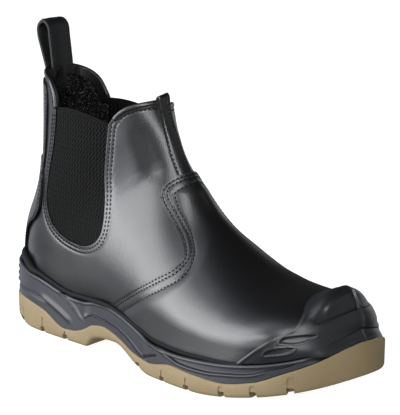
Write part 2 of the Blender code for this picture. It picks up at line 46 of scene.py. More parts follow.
# Camera, at the photograph's angle
photo = {"height": 415, "pixelsPerMetre": 1570.0, "azimuth": 47.91, "elevation": 13.36,
         "distance": 1.8124, "target": (0.01162, 0.0, 0.09964)}
turn, rise = radians(photo["azimuth"]), radians(photo["elevation"])
towardsEye = Vector((sin(turn) * cos(rise), -cos(turn) * cos(rise), sin(rise)))
bpy.ops.object.camera_add(location=Vector(photo["target"]) + towardsEye * photo["distance"])
camera = bpy.context.object
camera.rotation_mode = "QUATERNION"
camera.rotation_quaternion = towardsEye.to_track_quat("Z", "Y")
camera.data.sensor_width = 36.0  # covers the image's long side, its height
camera.data.lens = 36.0 * photo["distance"] * photo["pixelsPerMetre"] / photo["height"]
bpy.context.scene.camera = camera
print("camera set")

# The last: the tables that the solids are made from, trued to the photo by up to 3 mm
last = {"half": 153.0, "heelBlunt": 9.0, "toeBlunt": 6.0, "meanHalf": 45.0, "skew": 0.12,
        "featherInset": 6.0, "toeTip": 145.5, "heelTip": 147.0, "closedFrom": 0.70, "toeRoundOff": 60.0,
        "fairing": (0.012, 0.03), "heelFade": 0.04}
planRows = ((-153, 0, 37.5, 37.5), (-110, 0, 39, 38.5), (-60, 0, 39.5, 36), (-15, 0.5, 47.5, 40.5),
            (30, 2, 57, 48), (65, 4, 61, 52), (100, 6, 60, 52), (153, 9, 56, 45))  # x, swing, lateral, medial
sideRows = ((-153, 6, 20, 49, 31), (-135, 2, 20, 45.5, 31), (-122, 0, 19, 41.5, 30.5), (-105, 0, 16, 37.5, 30),
            (-84, 0, 8, 33, 28.5), (-74, 0, 8.5, 32.5, 27.5), (-63, 0, 12, 33, 26.5), (-54, 7, 16.5, 34, 25.5),
            (-38, 10.5, 19, 34.5, 24), (-25, 11.5, 17.5, 33, 22.5), (0, 3.3, 11, 27.5, 19), (15, 0, 9.5, 23.5, 17),
            (40, 0, 13.5, 22, 15), (60, 0, 12, 22.5, 15), (80, 1.3, 11, 23.5, 15.5), (105, 5, 15, 26.5, 18),
            (125, 9, 23, 30.5, 22), (140, 13, 30, 35, 25), (153, 17.5, 39.5, 41, 28))  # x, then heights
sideColumn = {"floor": 1, "split": 2, "rim": 3, "feather": 4}
lastRows = (  # t, front x, front z, back x, lift, lateral, medial, widest, then three powers of the section
    (0.0, 145.8, 34, 144.3, 0, 47, 34, 0.60, 2.2, 1.90, 3), (0.04, 146.5, 43, 142, 0, 47, 34, 0.60, 2.2, 1.90, 3),
    (0.08, 144, 51, 136, 0, 47, 34, 0.60, 2.2, 1.90, 3), (0.13, 136.5, 57, 126, 0, 48, 35, 0.60, 2.2, 1.90, 3),
    (0.20, 119, 60.6, 107, 0, 51, 38, 0.60, 2.2, 1.80, 3), (0.28, 95, 62.7, 80, 0, 52, 40, 0.62, 2.1, 1.75, 3),
    (0.36, 70, 68.6, 50, 0, 51, 40, 0.64, 2, 1.70, 3), (0.44, 45, 80.6, 18, 0, 48, 38.5, 0.66, 2, 1.65, 3),
    (0.52, 22, 96, -20, 0, 43, 36.5, 0.68, 2, 1.60, 3), (0.60, 5.5, 115.5, -75, 0, 37, 35, 0.66, 2, 1.55, 3),
    (0.66, -5.2, 128, -125, 0, 35, 34, 0.64, 2, 1.60, 3), (0.685, -8, 133, -140, 0, 34.5, 33.5, 0.62, 2, 1.60, 3),
    (0.70, -9.6, 136, -147, 0, 34, 33, 0.60, 2, 1.65, 3), (0.76, -14, 144, -146.6, 27, 33, 32, 0.57, 2, 1.70, 2.8),
    (0.82, -17.4, 150, -137.4, 49, 32, 31, 0.54, 2, 1.75, 2.5),
    (0.88, -20.6, 157, -131.8, 74, 31, 30, 0.52, 2, 1.80, 2.3),
    (0.94, -23.4, 164, -131, 109, 30.5, 30, 0.50, 2, 1.75, 2.2),
    (1.0, -25.6, 174, -131, 147, 30, 30, 0.50, 2, 1.70, 2.2))


def curveAt(rows, column, where):  # smooth curve through a table, without overshoot
    xs = np.array([row[0] for row in rows], float)
    ys = np.array([row[column] for row in rows], float)
    steps = np.diff(ys) / np.diff(xs)
    product = steps[:-1] * steps[1:]
    total = np.where(product > 0, steps[:-1] + steps[1:], 1.0)
    slopes = np.concatenate([steps[:1], np.where(product > 0, 2 * product / total, 0.0), steps[-1:]])
    where = np.clip(where, xs[0], xs[-1])
    k = np.clip(np.searchsorted(xs, where, side="right") - 1, 0, len(xs) - 2)
    run = xs[k + 1] - xs[k]
    f = (where - xs[k]) / run
    return (ys[k] * (1 + 2 * f) * (1 - f) ** 2 + slopes[k] * run * f * (1 - f) ** 2
            + ys[k + 1] * f ** 2 * (3 - 2 * f) + slopes[k + 1] * run * f ** 2 * (f - 1))


def ease(value):  # soft step from 0 to 1
    f = np.clip(value, 0, 1)
    return f * f * (3 - 2 * f)


def between(s, start, rise, end, fall):  # 1 from start to end, easing in over rise and out over fall
    return ease((s - start) / rise) * ease((end - s) / fall)


def ridgeOn(distance, width):  # soft ridge, 1 on its line
    return np.exp(-(distance / width) ** 2)


def planPoint(x, side, inset):  # sole outline on one side, -1 lateral and 1 medial
    power = np.where(x < 0, last["heelBlunt"], last["toeBlunt"])
    closing = np.sqrt(np.maximum(0.0, 1 - np.abs(x / last["half"]) ** power))
    half = np.where(side < 0, curveAt(planRows, 2, x), curveAt(planRows, 3, x)) * closing
    return x * (1 - inset / last["half"]), curveAt(planRows, 1, x) + side * half * (1 - inset / last["meanHalf"])


def soleHeight(name, x, y):
    return curveAt(sideRows, sideColumn[name], x + last["skew"] * y)


def rimHeight(x, y):
    return np.maximum(soleHeight("rim", x, y), soleHeight("split", x, y) + 1.2)


def lastPoint(t, w):  # w runs from -1, the lateral sole edge, over the ridge at 0 to 1, the medial one
    toeFair, shaftFair = last["fairing"]
    e = toeFair + (shaftFair - toeFair) * ease((t - 0.3) / 0.2)

    def fair(column):  # the table's value, eased over its rows so that highlights run on
        return (curveAt(lastRows, column, t - e) + 2 * curveAt(lastRows, column, t)
                + curveAt(lastRows, column, t + e)) / 4
    frontX, frontZ, widest = fair(1), fair(2), fair(7)
    heelX, backX = curveAt(lastRows, 3, t), fair(3)
    side = np.where(w < 0, -1.0, 1.0)
    backZ = curveAt(sideRows, sideColumn["feather"], backX) + fair(4)
    centre = curveAt(planRows, 1, frontX)
    toe = np.minimum(1.0, (last["toeTip"] - heelX) / last["toeRoundOff"])
    half = np.where(w < 0, fair(5), fair(6)) * np.sqrt(1 - (1 - toe) ** 3)
    reach = np.where(heelX > 0, last["toeTip"], last["heelTip"])
    footX = np.clip(heelX * last["half"] / reach, -last["half"], last["half"])
    featherY = planPoint(footX, side, last["featherInset"])[1]
    end = np.clip(np.abs(featherY - centre) / half, 0, 1) * ease((last["closedFrom"] - t) / last["heelFade"]) ** 0.25
    angle = np.abs(w) * pi
    before = np.minimum(angle, pi / 2)
    beyond = np.sin(np.maximum(angle, pi / 2) - pi / 2)
    along = np.where(angle <= pi / 2, widest * (1 - np.maximum(0, np.cos(before)) ** (2 / fair(8))),
                     widest + (1 - widest) * beyond)
    across = np.where(angle <= pi / 2, np.sin(before) ** (2 / fair(9)),
                      np.sqrt(np.maximum(0, 1 - (1 - end ** 2) * beyond ** fair(10))))
    pull = 1 - along * ease((t - last["closedFrom"]) / 0.1 + 1)  # the swing of the toe dies out at the heel
    return np.stack([frontX + along * (backX - frontX), centre * pull + side * half * across,
                     frontZ + along * (backZ - frontZ)], -1)


def lastSkin(t, w):  # points of the last and its outward directions
    t, w = np.broadcast_arrays(np.asarray(t, float), np.asarray(w, float))
    e = 0.0015

    def wrapped(value):  # over the back seam where the section is closed
        turned = np.where(value > 1, value - 2, np.where(value < -1, value + 2, value))
        return np.where(t < last["closedFrom"], np.clip(value, -1, 1), turned)
    alongT = lastPoint(np.clip(t + e, 0, 1), wrapped(w)) - lastPoint(np.clip(t - e, 0, 1), wrapped(w))
    alongW = lastPoint(t, wrapped(w + e)) - lastPoint(t, wrapped(w - e))
    outward = np.cross(alongW, alongT)
    outward /= np.maximum(np.linalg.norm(outward, axis=-1, keepdims=True), 1e-9)
    return lastPoint(t, wrapped(w)), outward


def smoothLine(points, steps=8):  # flowing line through points, in side view
    p = np.array(points, float)
    p = np.vstack([2 * p[0] - p[1], p, 2 * p[-1] - p[-2]])
    f = np.linspace(0, 1, steps, endpoint=False)[:, None]
    runs = [0.5 * (2 * p[k] + (p[k + 1] - p[k - 1]) * f + (2 * p[k - 1] - 5 * p[k] + 4 * p[k + 1] - p[k + 2]) * f ** 2
                   + (3 * p[k] - p[k - 1] - 3 * p[k + 1] + p[k + 2]) * f ** 3) for k in range(1, len(p) - 2)]
    return np.vstack(runs + [p[-2:-1]])


def insideOf(outline, p):  # distance to a closed outline in side view, below zero inside it
    a, b = p[..., 0], p[..., 2]
    far = np.full(a.shape, 1e9)
    inside = np.zeros(a.shape, bool)
    ends = np.roll(outline, -1, 0)
    for (a0, b0), (a1, b1) in zip(outline, ends):
        run = (a1 - a0) ** 2 + (b1 - b0) ** 2
        if run < 1e-12:
            continue
        f = np.clip(((a - a0) * (a1 - a0) + (b - b0) * (b1 - b0)) / run, 0, 1)
        far = np.minimum(far, np.hypot(a - a0 - f * (a1 - a0), b - b0 - f * (b1 - b0)))
        if b0 != b1:
            inside ^= ((b0 > b) != (b1 > b)) & (a < a0 + (b - b0) / (b1 - b0) * (a1 - a0))
    return np.where(inside, -far, far)


# Making pieces
def coordsOf(piece):
    flat = np.empty(len(piece.data.vertices) * 3)
    piece.data.vertices.foreach_get("co", flat)
    return flat.reshape(-1, 3) / mm


def moveTo(piece, points):
    piece.data.vertices.foreach_set("co", (points * mm).ravel())
    piece.data.update()


def normalsOf(piece):
    flat = np.empty(len(piece.data.vertices) * 3)
    piece.data.vertex_normals.foreach_get("vector", flat)
    return flat.reshape(-1, 3)


def pushOut(piece, shift):  # moves a sheet's points outwards, each by its own shift
    moveTo(piece, coordsOf(piece) + normalsOf(piece) * shift[:, None])


def gridPiece(name, across, along, place):  # a grid, laid where place(u, v) says
    bpy.ops.mesh.primitive_grid_add(x_subdivisions=across, y_subdivisions=along, size=2)
    piece = bpy.context.object
    piece.name = piece.data.name = name
    flat = coordsOf(piece) * mm
    moveTo(piece, place((flat[:, 0] + 1) / 2, (flat[:, 1] + 1) / 2))
    return piece


def meshPiece(name, points, faces):  # a mesh from points in millimetres
    mesh = bpy.data.meshes.new(name)
    mesh.from_pydata((np.asarray(points) * mm).tolist(), [], faces)
    piece = bpy.data.objects.new(name, mesh)
    bpy.context.collection.objects.link(piece)
    return piece


def lastSheet(name, tSpan, wSpan, steps, lift):  # a sheet that lies on the last, facing out
    def place(u, v):
        points, outward = lastSkin(tSpan[0] + (tSpan[1] - tSpan[0]) * u, wSpan[0] + (wSpan[1] - wSpan[0]) * v)
        return points + outward * lift
    piece = gridPiece(name, *steps, place)
    piece.data.flip_normals()
    return piece


def trim(piece, values):  # cuts a sheet along zero and keeps what is below it
    form = bmesh.new()
    form.from_mesh(piece.data)
    form.verts.ensure_lookup_table()
    value = {vert: values[vert.index] if values[vert.index] else -1e-6 for vert in form.verts}
    touched = set()
    for edge in list(form.edges):
        a, b = edge.verts
        if value[a] * value[b] < 0:
            touched.update(edge.link_faces)
            fresh = bmesh.utils.edge_split(edge, a, value[a] / (value[a] - value[b]))[1]
            value[fresh] = 0.0
    for face in sorted(touched, key=lambda face: face.index):
        ends = [vert for vert in face.verts if value[vert] == 0]
        if len(ends) == 2:
            bmesh.utils.face_split(face, ends[0], ends[1])
    gone = [face for face in form.faces if sum(value[vert] for vert in face.verts) > 0]
    bmesh.ops.delete(form, geom=gone, context="FACES")
    rim = [vert for vert in form.verts if value.get(vert) == 0]
    near = {other for vert in rim for edge in vert.link_edges for other in edge.verts}
    bmesh.ops.remove_doubles(form, verts=sorted(near, key=lambda vert: vert.index), dist=0.12 * mm)
    form.to_mesh(piece.data)
    form.free()
    piece.data.update()


def contours(piece, values):  # lines on a sheet where the values pass zero, with the sheet's direction
    form = bmesh.new()
    form.from_mesh(piece.data)
    form.edges.ensure_lookup_table()
    crossing = {}
    for edge in form.edges:
        a, b = edge.verts
        va, vb = values[a.index], values[b.index]
        if (va < 0) != (vb < 0):
            f = va / (va - vb)
            crossing[edge.index] = np.concatenate([a.co.lerp(b.co, f) / mm, a.normal.lerp(b.normal, f)])
    beside = {key: [] for key in crossing}
    for key in crossing:
        for face in form.edges[key].link_faces:
            beside[key] += [edge.index for edge in face.edges if edge.index in crossing and edge.index != key]
    form.free()
    lines = []
    left = set(crossing)
    for start in sorted(crossing, key=lambda key: (len(beside[key]), key)):
        line = []
        while start in left:
            left.discard(start)
            line.append(crossing[start])
            start = next((key for key in beside[start] if key in left), start)
        if len(line) > 3:
            lines.append(np.array(line))
    return lines


def pick(*pieces):  # selects these alone, with the first one active
    bpy.ops.object.select_all(action="DESELECT")
    for piece in pieces:
        piece.select_set(True)
    bpy.context.view_layer.objects.active = pieces[0]


def applied(piece, kind, **settings):  # adds a modifier and applies it
    bpy.context.view_layer.objects.active = piece
    step = piece.modifiers.new(kind.lower(), kind)
    for name, value in settings.items():
        setattr(step, name, value)
    bpy.ops.object.modifier_apply(modifier=step.name)


def thicken(piece, wall, edgeRound):  # gives a sheet its wall, inwards, and rounds its cut edges
    applied(piece, "SOLIDIFY", thickness=wall * mm, offset=-1.0)
    applied(piece, "BEVEL", width=edgeRound * mm, segments=2, limit_method="ANGLE", angle_limit=radians(50))


def closeUp(piece, gap=0.01):  # merges doubles, fills open ends and turns faces outwards
    pick(piece)
    bpy.ops.object.mode_set(mode="EDIT")
    bpy.ops.mesh.select_all(action="SELECT")
    bpy.ops.mesh.remove_doubles(threshold=gap * mm)
    bpy.ops.mesh.fill_holes(sides=0)
    bpy.ops.mesh.normals_make_consistent(inside=False)
    bpy.ops.object.mode_set(mode="OBJECT")


def pressRows(piece, rowsOf, depth=0.38, width=0.75, reach=2.2):  # refines a sheet along its rows and sinks them
    near = rowsOf(coordsOf(piece)) < reach
    form = bmesh.new()
    form.from_mesh(piece.data)
    edges = [edge for edge in form.edges if near[edge.verts[0].index] and near[edge.verts[1].index]]
    bmesh.ops.subdivide_edges(form, edges=edges, cuts=1, use_grid_fill=True)
    form.to_mesh(piece.data)
    form.free()
    pushOut(piece, -depth * ridgeOn(rowsOf(coordsOf(piece)), width))


def setFloat(piece, name, values):
    layer = piece.data.attributes.new(name, "FLOAT", "POINT")
    layer.data.foreach_set("value", np.asarray(values, np.float32))


def settle(piece, material, slot, *nodes, crease=None):  # finish and body of a piece; slot is not used
    pick(piece)
    if crease:
        bpy.ops.object.shade_smooth_by_angle(angle=radians(crease))
    else:
        bpy.ops.object.shade_smooth()
    piece.data.materials.clear()
    piece.data.materials.append(material)
    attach(piece, "root")
    if nodes:
        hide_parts(*nodes)
    piece.select_set(False)
    piece.data.calc_loop_triangles()
    print(piece.name, "made,", len(piece.data.loop_triangles), "triangles")


# Materials
def linear(code):  # sRGB hex to linear colour
    parts = [int(code[k:k + 2], 16) / 255 for k in (1, 3, 5)]
    return [c / 12.92 if c <= 0.04045 else ((c + 0.055) / 1.055) ** 2.4 for c in parts] + [1.0]


def addNode(tree, kind, settings, inputs):  # inputs are values, or a pair of node and output
    node = tree.nodes.new(kind)
    for name, value in settings.items():
        setattr(node, name, value)
    for name, value in inputs.items():
        if isinstance(value, tuple) and isinstance(value[0], bpy.types.Node):
            tree.links.new(value[0].outputs[value[1]], node.inputs[name])
        else:
            node.inputs[name].default_value = value
    return node


def startMaterial(name, colour, **sockets):  # new material with its shader and Object coordinates
    material = bpy.data.materials.new(name)
    material.use_nodes = True
    tree = material.node_tree
    shader = tree.nodes["Principled BSDF"]
    shader.inputs["Base Color"].default_value = linear(colour)
    for socket, value in sockets.items():
        shader.inputs[socket.replace("_", " ")].default_value = value
    return material, tree, shader, addNode(tree, "ShaderNodeTexCoord", {}, {})


def roughen(tree, shader, place, sizeMm, depthMm):  # fine grain, as bump, coarser than real so that it shows
    grain = addNode(tree, "ShaderNodeTexNoise", {},
                    {"Vector": (place, "Object"), "Scale": 1 / (sizeMm * mm), "Detail": 2.0})
    bump = addNode(tree, "ShaderNodeBump", {}, {"Height": (grain, "Fac"), "Distance": depthMm * mm})
    tree.links.new(bump.outputs["Normal"], shader.inputs["Normal"])


def tintBy(tree, shader, share, dark, pale):  # base colour from dark to pale, by the share that a node gives
    tint = addNode(tree, "ShaderNodeMix", {"data_type": "RGBA"}, {0: share, 6: linear(dark), 7: linear(pale)})
    tree.links.new(tint.outputs[2], shader.inputs["Base Color"])


# Corrected-grain leather, polished: black, with a clear dressing that gives soft broad highlights
# The pores are drawn about twice as coarse as real ones, so that they show
leatherLook = {"colour": "#040405", "poreMm": 0.85, "poreDepthMm": 0.06, "swellMm": 16.0, "swellDepthMm": 0.10}
leather, tree, shader, place = startMaterial("polishedLeather", leatherLook["colour"], Roughness=0.32, IOR=1.5)
pores = addNode(tree, "ShaderNodeTexVoronoi", {"feature": "SMOOTH_F1"},
                {"Vector": (place, "Object"), "Scale": 1 / (leatherLook["poreMm"] * mm), "Smoothness": 0.6})
swell = addNode(tree, "ShaderNodeTexNoise", {},
                {"Vector": (place, "Object"), "Scale": 1 / (leatherLook["swellMm"] * mm), "Detail": 1.0})
swelled = addNode(tree, "ShaderNodeBump", {},
                  {"Height": (swell, "Fac"), "Distance": leatherLook["swellDepthMm"] * mm})
grained = addNode(tree, "ShaderNodeBump", {},
                  {"Height": (pores, "Distance"), "Distance": leatherLook["poreDepthMm"] * mm,
                   "Normal": (swelled, "Normal")})
tree.links.new(grained.outputs["Normal"], shader.inputs["Normal"])

# Loop leather: the same hide, split thinner and less polished
loopLeather, tree, shader, place = startMaterial("loopLeather", "#08090a", Roughness=0.42, Specular_IOR_Level=0.35)
rawEdge = addNode(tree, "ShaderNodeAttribute", {"attribute_name": "rawEdge"}, {})
tintBy(tree, shader, (rawEdge, "Fac"), "#08090a", "#1c1c1d")
dull = addNode(tree, "ShaderNodeMapRange", {}, {"Value": (rawEdge, "Fac"), "To Min": 0.42, "To Max": 0.9})
tree.links.new(dull.outputs["Result"], shader.inputs["Roughness"])
pores = addNode(tree, "ShaderNodeTexVoronoi", {"feature": "SMOOTH_F1"},
                {"Vector": (place, "Object"), "Scale": 1 / (0.8 * mm), "Smoothness": 0.6})
grained = addNode(tree, "ShaderNodeBump", {}, {"Height": (pores, "Distance"), "Distance": 0.05 * mm})
tree.links.new(grained.outputs["Normal"], shader.inputs["Normal"])

# Polyurethane foam skin: dark grey, satin, with the fine blast of its mould
foamSkin, tree, shader, place = startMaterial("foamSkin", "#222327", Roughness=0.40, Specular_IOR_Level=0.28)
roughen(tree, shader, place, 0.7, 0.05)

# Moulded rubber of the toe cap: near black, satin
capRubber, tree, shader, place = startMaterial("capRubber", "#0f1012", Roughness=0.38, Specular_IOR_Level=0.42)
roughen(tree, shader, place, 0.6, 0.04)

# Welt rubber: black and dull, in the joint of upper and sole: partly a black rim, partly painted shade in that joint
weltRubberAndJointShade, tree, shader, place = startMaterial("weltRubberAndJointShade", "#060607", Roughness=0.7, Specular_IOR_Level=0.15)
roughen(tree, shader, place, 0.7, 0.05)

# Tan rubber: matt, filled with pale pigment, so slightly cloudy
tanRubber, tree, shader, place = startMaterial("tanRubber", "#685a40", Roughness=0.62, Specular_IOR_Level=0.35)
cloud = addNode(tree, "ShaderNodeTexNoise", {},
                {"Vector": (place, "Object"), "Scale": 1 / (18 * mm), "Detail": 3.0})
tintBy(tree, shader, (cloud, "Fac"), "#605239", "#6f6146")
roughen(tree, shader, place, 0.8, 0.05)

# Knitted elastic: black yarn over dark rubber threads, matt with a little sheen. Its colour follows the strands'
# height: paler on the raised strands, a painted sheen, and near black in the gaps, painted shade
knitElastic, tree, shader, place = startMaterial("knitElastic", "#0a0a0c", Roughness=0.7, Specular_IOR_Level=0.04)
strandShadeShare = addNode(tree, "ShaderNodeAttribute", {"attribute_name": "knit"}, {})
tintBy(tree, shader, (strandShadeShare, "Fac"), "#010101", "#191919")

# Polyester lining: black pile with pale specks
lining, tree, shader, place = startMaterial("speckledLining", "#0c0c0e", Roughness=0.9, Specular_IOR_Level=0.1)
speck = addNode(tree, "ShaderNodeTexNoise", {},
                {"Vector": (place, "Object"), "Scale": 1 / (0.8 * mm), "Detail": 1.0})
pale = addNode(tree, "ShaderNodeMapRange", {}, {"Value": (speck, "Fac"), "From Min": 0.58, "From Max": 0.72})
tintBy(tree, shader, (pale, "Result"), "#020203", "#4a4a48")

# Bonded polyester thread: black, slightly waxy
thread, tree, shader, place = startMaterial("bondedThread", "#060607", Roughness=0.6, Specular_IOR_Level=0.2)
twist = addNode(tree, "ShaderNodeTexNoise", {}, {"Vector": (place, "Object"), "Scale": 1 / (0.4 * mm), "Detail": 1.0})
tintBy(tree, shader, (twist, "Fac"), "#030304", "#0e0e10")

# Footbed cloth: dark needle felt
footCloth, tree, shader, place = startMaterial("footbedFelt", "#1d1d20", Roughness=0.9)
roughen(tree, shader, place, 0.9, 0.2)
print("materials made")

# Stitches are gathered row by row and made at the end
stitches = []


def sew(line, pitch=2.8, ends=1.0, sunk=0.15):  # a row of stitches along a line on a sheet
    points = line[:, :3].copy()
    for _ in range(3):
        points[1:-1] = (points[:-2] + 2 * points[1:-1] + points[2:]) / 4
    run = np.concatenate([[0], np.cumsum(np.linalg.norm(np.diff(points, axis=0), axis=1))])
    if run[-1] < 3 * pitch:
        return
    count = int((run[-1] - 2 * ends) / pitch)
    middles = ends + (np.arange(count) + 0.5) * (run[-1] - 2 * ends) / count

    def at(where, values):
        return np.stack([np.interp(where, run, values[:, k]) for k in range(3)], -1)
    along = at(middles + 0.6, points) - at(middles - 0.6, points)
    for point, direction, up in zip(at(middles, points), along, at(middles, line[:, 3:])):
        up = up / np.linalg.norm(up)
        stitches.append((point - up * sunk, direction / np.linalg.norm(direction), up))


# Quarters: one leather shell round the ankle, with the collar and the elastic cut out
quarter = {"tSpan": (0.40, 1.0), "steps": (150, 210), "wall": 1.6, "edgeRound": 0.5, "underVamp": 9.0,
           "gussetRows": (2.0, 4.6), "collarRow": 4.4, "bindingHigh": 1.9, "bindingThick": 1.5, "bindingDrop": 1.3,
           "collarFrom": 150.5, "elasticTop": 150.0, "elasticSpan": (-112.0, -36.0),
           "frontFrom": -48.0, "backTo": (-95.5, -104.0)}  # pairs of ends are for the outer and the inner side
collarBack = {-1: ((-150, 173), (-131, 172.8), (-119, 172), (-109, 169.2), (-102, 164), (-98.8, 158), (-97.6, 152)),
              1: ((-150, 173), (-131, 172.8), (-123, 170.4), (-117, 167), (-112.5, 162.5), (-109.5, 157), (-107, 152))}
gussetEdge = {-1: ((-97.6, 151), (-98.6, 138), (-101.6, 123), (-105, 111), (-105.8, 100), (-104, 88), (-100.5, 79.5),
                   (-95, 73.5), (-86, 69), (-75, 66.4), (-63, 66), (-53, 69.6), (-47.3, 76), (-46, 84), (-47.5, 97),
                   (-50, 114), (-49, 133), (-48, 148)),
              1: ((-106, 151), (-106.4, 130), (-107, 115), (-107.5, 92), (-101.5, 77.5), (-88, 69.5), (-70, 66.5),
                  (-55, 69), (-47, 79), (-47.5, 95), (-50, 118), (-48, 148))}
collarFront = {-1: ((-46.5, 150.5), (-43, 155.6), (-37, 160), (-29, 163), (-21, 164.6), (0, 165.2)),
               1: ((-46.5, 149.5), (-43, 154), (-37, 157.6), (-29, 160), (-21, 161.2), (0, 161.8))}
vampEdge = ((-42, 28), (-27, 37), (-3, 51.5), (14, 61.5), (25.5, 69), (27.5, 75), (21, 82.5), (12, 90), (1, 99),
            (-5.5, 106), (-7, 112), (-4, 117), (3, 122), (20, 130))
opening = {side: np.vstack([smoothLine(collarBack[side]), smoothLine(gussetEdge[side]), smoothLine(collarFront[side]),
                            [(60, 165), (60, 260), (-170, 260), (-170, 173)]]) for side in (-1, 1)}
bumperEdge = ((82, 12), (95, 22.3), (110, 34.3), (124, 45.3), (131, 52), (129, 57.5), (121.5, 62.5), (110, 69))
bumperArea = np.vstack([smoothLine(bumperEdge), [(260, 69), (260, 10)]])
vampArea = np.vstack([[(-60, 15)], smoothLine(vampEdge), [(60, 150), (260, 150), (260, 0), (-60, 0)]])


def openingEdge(p):  # distance to the collar and the elastic, below zero in the opening
    lateral, medial = [insideOf(opening[side], p) for side in (-1, 1)]
    return np.where(p[:, 1] < 0, lateral, medial)


def onCollar(p):  # on the top edge before or behind the elastic
    behind = p[:, 0] < np.where(p[:, 1] < 0, *quarter["backTo"])
    return (p[:, 2] > quarter["collarFrom"]) & ((p[:, 0] > quarter["frontFrom"]) | behind)


def besideElastic(p):
    rear, front = quarter["elasticSpan"]
    return (p[:, 2] < quarter["elasticTop"]) & (p[:, 0] > rear) & (p[:, 0] < front)


def nearCollar(line):  # the stretches of a line that follow the collar and not the elastic
    keep = onCollar(line)
    cuts = np.flatnonzero(np.diff(keep.astype(int))) + 1
    return [part for part, good in zip(np.split(line, cuts), np.split(keep, cuts)) if good[0] and len(part) > 3]


# Creases, given in side view: a soft trough with a lower ridge beside it
creases = (  # line, depth and half width in millimetres
    (((-31, 154), (-25, 138), (-19, 124), (-14, 112)), 0.7, 6.0),  # hollow down the front of the shaft
    (((-40, 112), (-28, 103), (-14, 95), (2, 88)), 0.16, 7.0),  # fold where the ankle bends
    (((-38, 98), (-24, 90), (-8, 83), (8, 78)), 0.12, 6.0),
    (((46, 36), (56, 50), (63, 62), (66, 74)), 0.16, 8.0),  # break over the ball
    (((66, 34), (75, 46), (80, 56), (82, 68)), 0.12, 7.0),
    (((-118, 62), (-104, 55), (-86, 51), (-68, 51)), 0.14, 7.0))  # over the heel counter


def creaseShift(p):
    shift = np.zeros(len(p))
    for line, depth, wide in creases:
        run = smoothLine(line)
        away = np.hypot(p[:, :1] - run[:, 0], p[:, 2:] - run[:, 1])
        near = away.argmin(1)
        turn = np.gradient(run, axis=0)
        turn /= np.linalg.norm(turn, axis=1)[:, None]
        beside = (p[:, 0] - run[near, 0]) * turn[near, 1] - (p[:, 2] - run[near, 1]) * turn[near, 0]
        fade = ease(4 * near / len(run)) * ease(4 * (1 - (near + 1) / len(run))) * (away.min(1) < 4 * wide)
        shift += depth * fade * (0.5 * ridgeOn(beside / wide - 1.7, 1) - ridgeOn(beside, wide))
    return shift


quarters = lastSheet("quarters", quarter["tSpan"], (-1, 1), quarter["steps"], 0.0)
p = coordsOf(quarters)
pushOut(quarters, creaseShift(p))
p = coordsOf(quarters)
trim(quarters, -insideOf(vampArea, p) - quarter["underVamp"])
p = coordsOf(quarters)
edge = openingEdge(p)
collarLines = contours(quarters, edge - quarter["bindingDrop"])
for distance in quarter["gussetRows"]:
    for line in contours(quarters, edge - distance):
        sew(line[besideElastic(line)])
for line in contours(quarters, edge - quarter["collarRow"]):
    for part in nearCollar(line):
        sew(part)
trim(quarters, -edge)


def quarterRows(p):  # distance to the nearest row of stitches
    edge = openingEdge(p)
    rows = np.minimum(*[np.abs(edge - distance) for distance in quarter["gussetRows"]])
    return np.where(besideElastic(p), rows, np.where(onCollar(p), np.abs(edge - quarter["collarRow"]), 99.0))


pressRows(quarters, quarterRows)
thicken(quarters, quarter["wall"], quarter["edgeRound"])
settle(quarters, leather, "black_leather", "upper")


# Collar binding: a rolled strip of oval section along the top edge of front and back
def bead(name, centre, outward, high, thick):
    for _ in range(6):
        centre[1:-1] = (centre[:-2] + 2 * centre[1:-1] + centre[2:]) / 4
    run = np.gradient(centre, axis=0)
    up = np.cross(run, outward)
    up /= np.linalg.norm(up, axis=1)[:, None]
    sizes = np.broadcast_to(np.c_[high, thick], (len(centre), 2))

    def place(u, v):
        k = np.round(u * (len(centre) - 1)).astype(int)
        return (centre[k] + outward[k] * (sizes[k, 1] * np.cos(2 * pi * v))[:, None]
                + up[k] * (sizes[k, 0] * np.sin(2 * pi * v))[:, None])
    piece = gridPiece(name, len(centre) - 1, 16, place)
    closeUp(piece)
    return piece


def joined(name, pieces):
    pick(*pieces)
    bpy.ops.object.join()
    bpy.context.object.name = bpy.context.object.data.name = name
    return bpy.context.object


beads = []
for line in collarLines:
    for part in nearCollar(line):
        beads.append(bead("bead", part[:, :3] - part[:, 3:] * quarter["wall"] / 2, part[:, 3:],
                          quarter["bindingHigh"], quarter["bindingThick"]))
settle(joined("collarBinding", beads), leather, "black_leather")

# Inner facing: a leather band inside the collar
facing = {"tSpan": (0.78, 1.0), "steps": (90, 220), "depth": 2.3, "wall": 0.6, "edgeRound": 0.2, "band": 6.0,
          "tailHalf": 9.5, "tailFoot": 155.0, "tailDepth": 6.0, "soft": 6.0,
          "frontFrom": -46.0, "backTo": (-97.0, -105.0), "foot": (150.0, 147.0), "fromEdge": 0.4}


def overTail(p):  # how deep cloth and facing lie, deeper where they cover the tail of the loop
    away = np.maximum(np.abs(p[:, 1]) - facing["tailHalf"], facing["tailFoot"] - p[:, 2])
    swell = ease(1 - away / facing["soft"]) * (p[:, 0] < -90)
    return facing["depth"] + (facing["tailDepth"] - facing["depth"]) * swell - np.minimum(creaseShift(p), 0)


innerFacing = lastSheet("innerFacing", facing["tSpan"], (-1, 1), facing["steps"], 0.0)
p = coordsOf(innerFacing)
edge = openingEdge(p)
outer = p[:, 1] < 0
ends = np.minimum(facing["frontFrom"] - p[:, 0], p[:, 0] - np.where(outer, *facing["backTo"]))
ends = np.maximum(np.where(outer, *facing["foot"]) - p[:, 2], ends)
pushOut(innerFacing, -overTail(p))
trim(innerFacing, np.maximum(np.maximum(facing["fromEdge"] - edge, edge - facing["band"]), ends))
thicken(innerFacing, facing["wall"], facing["edgeRound"])
settle(innerFacing, leather, "black_leather")

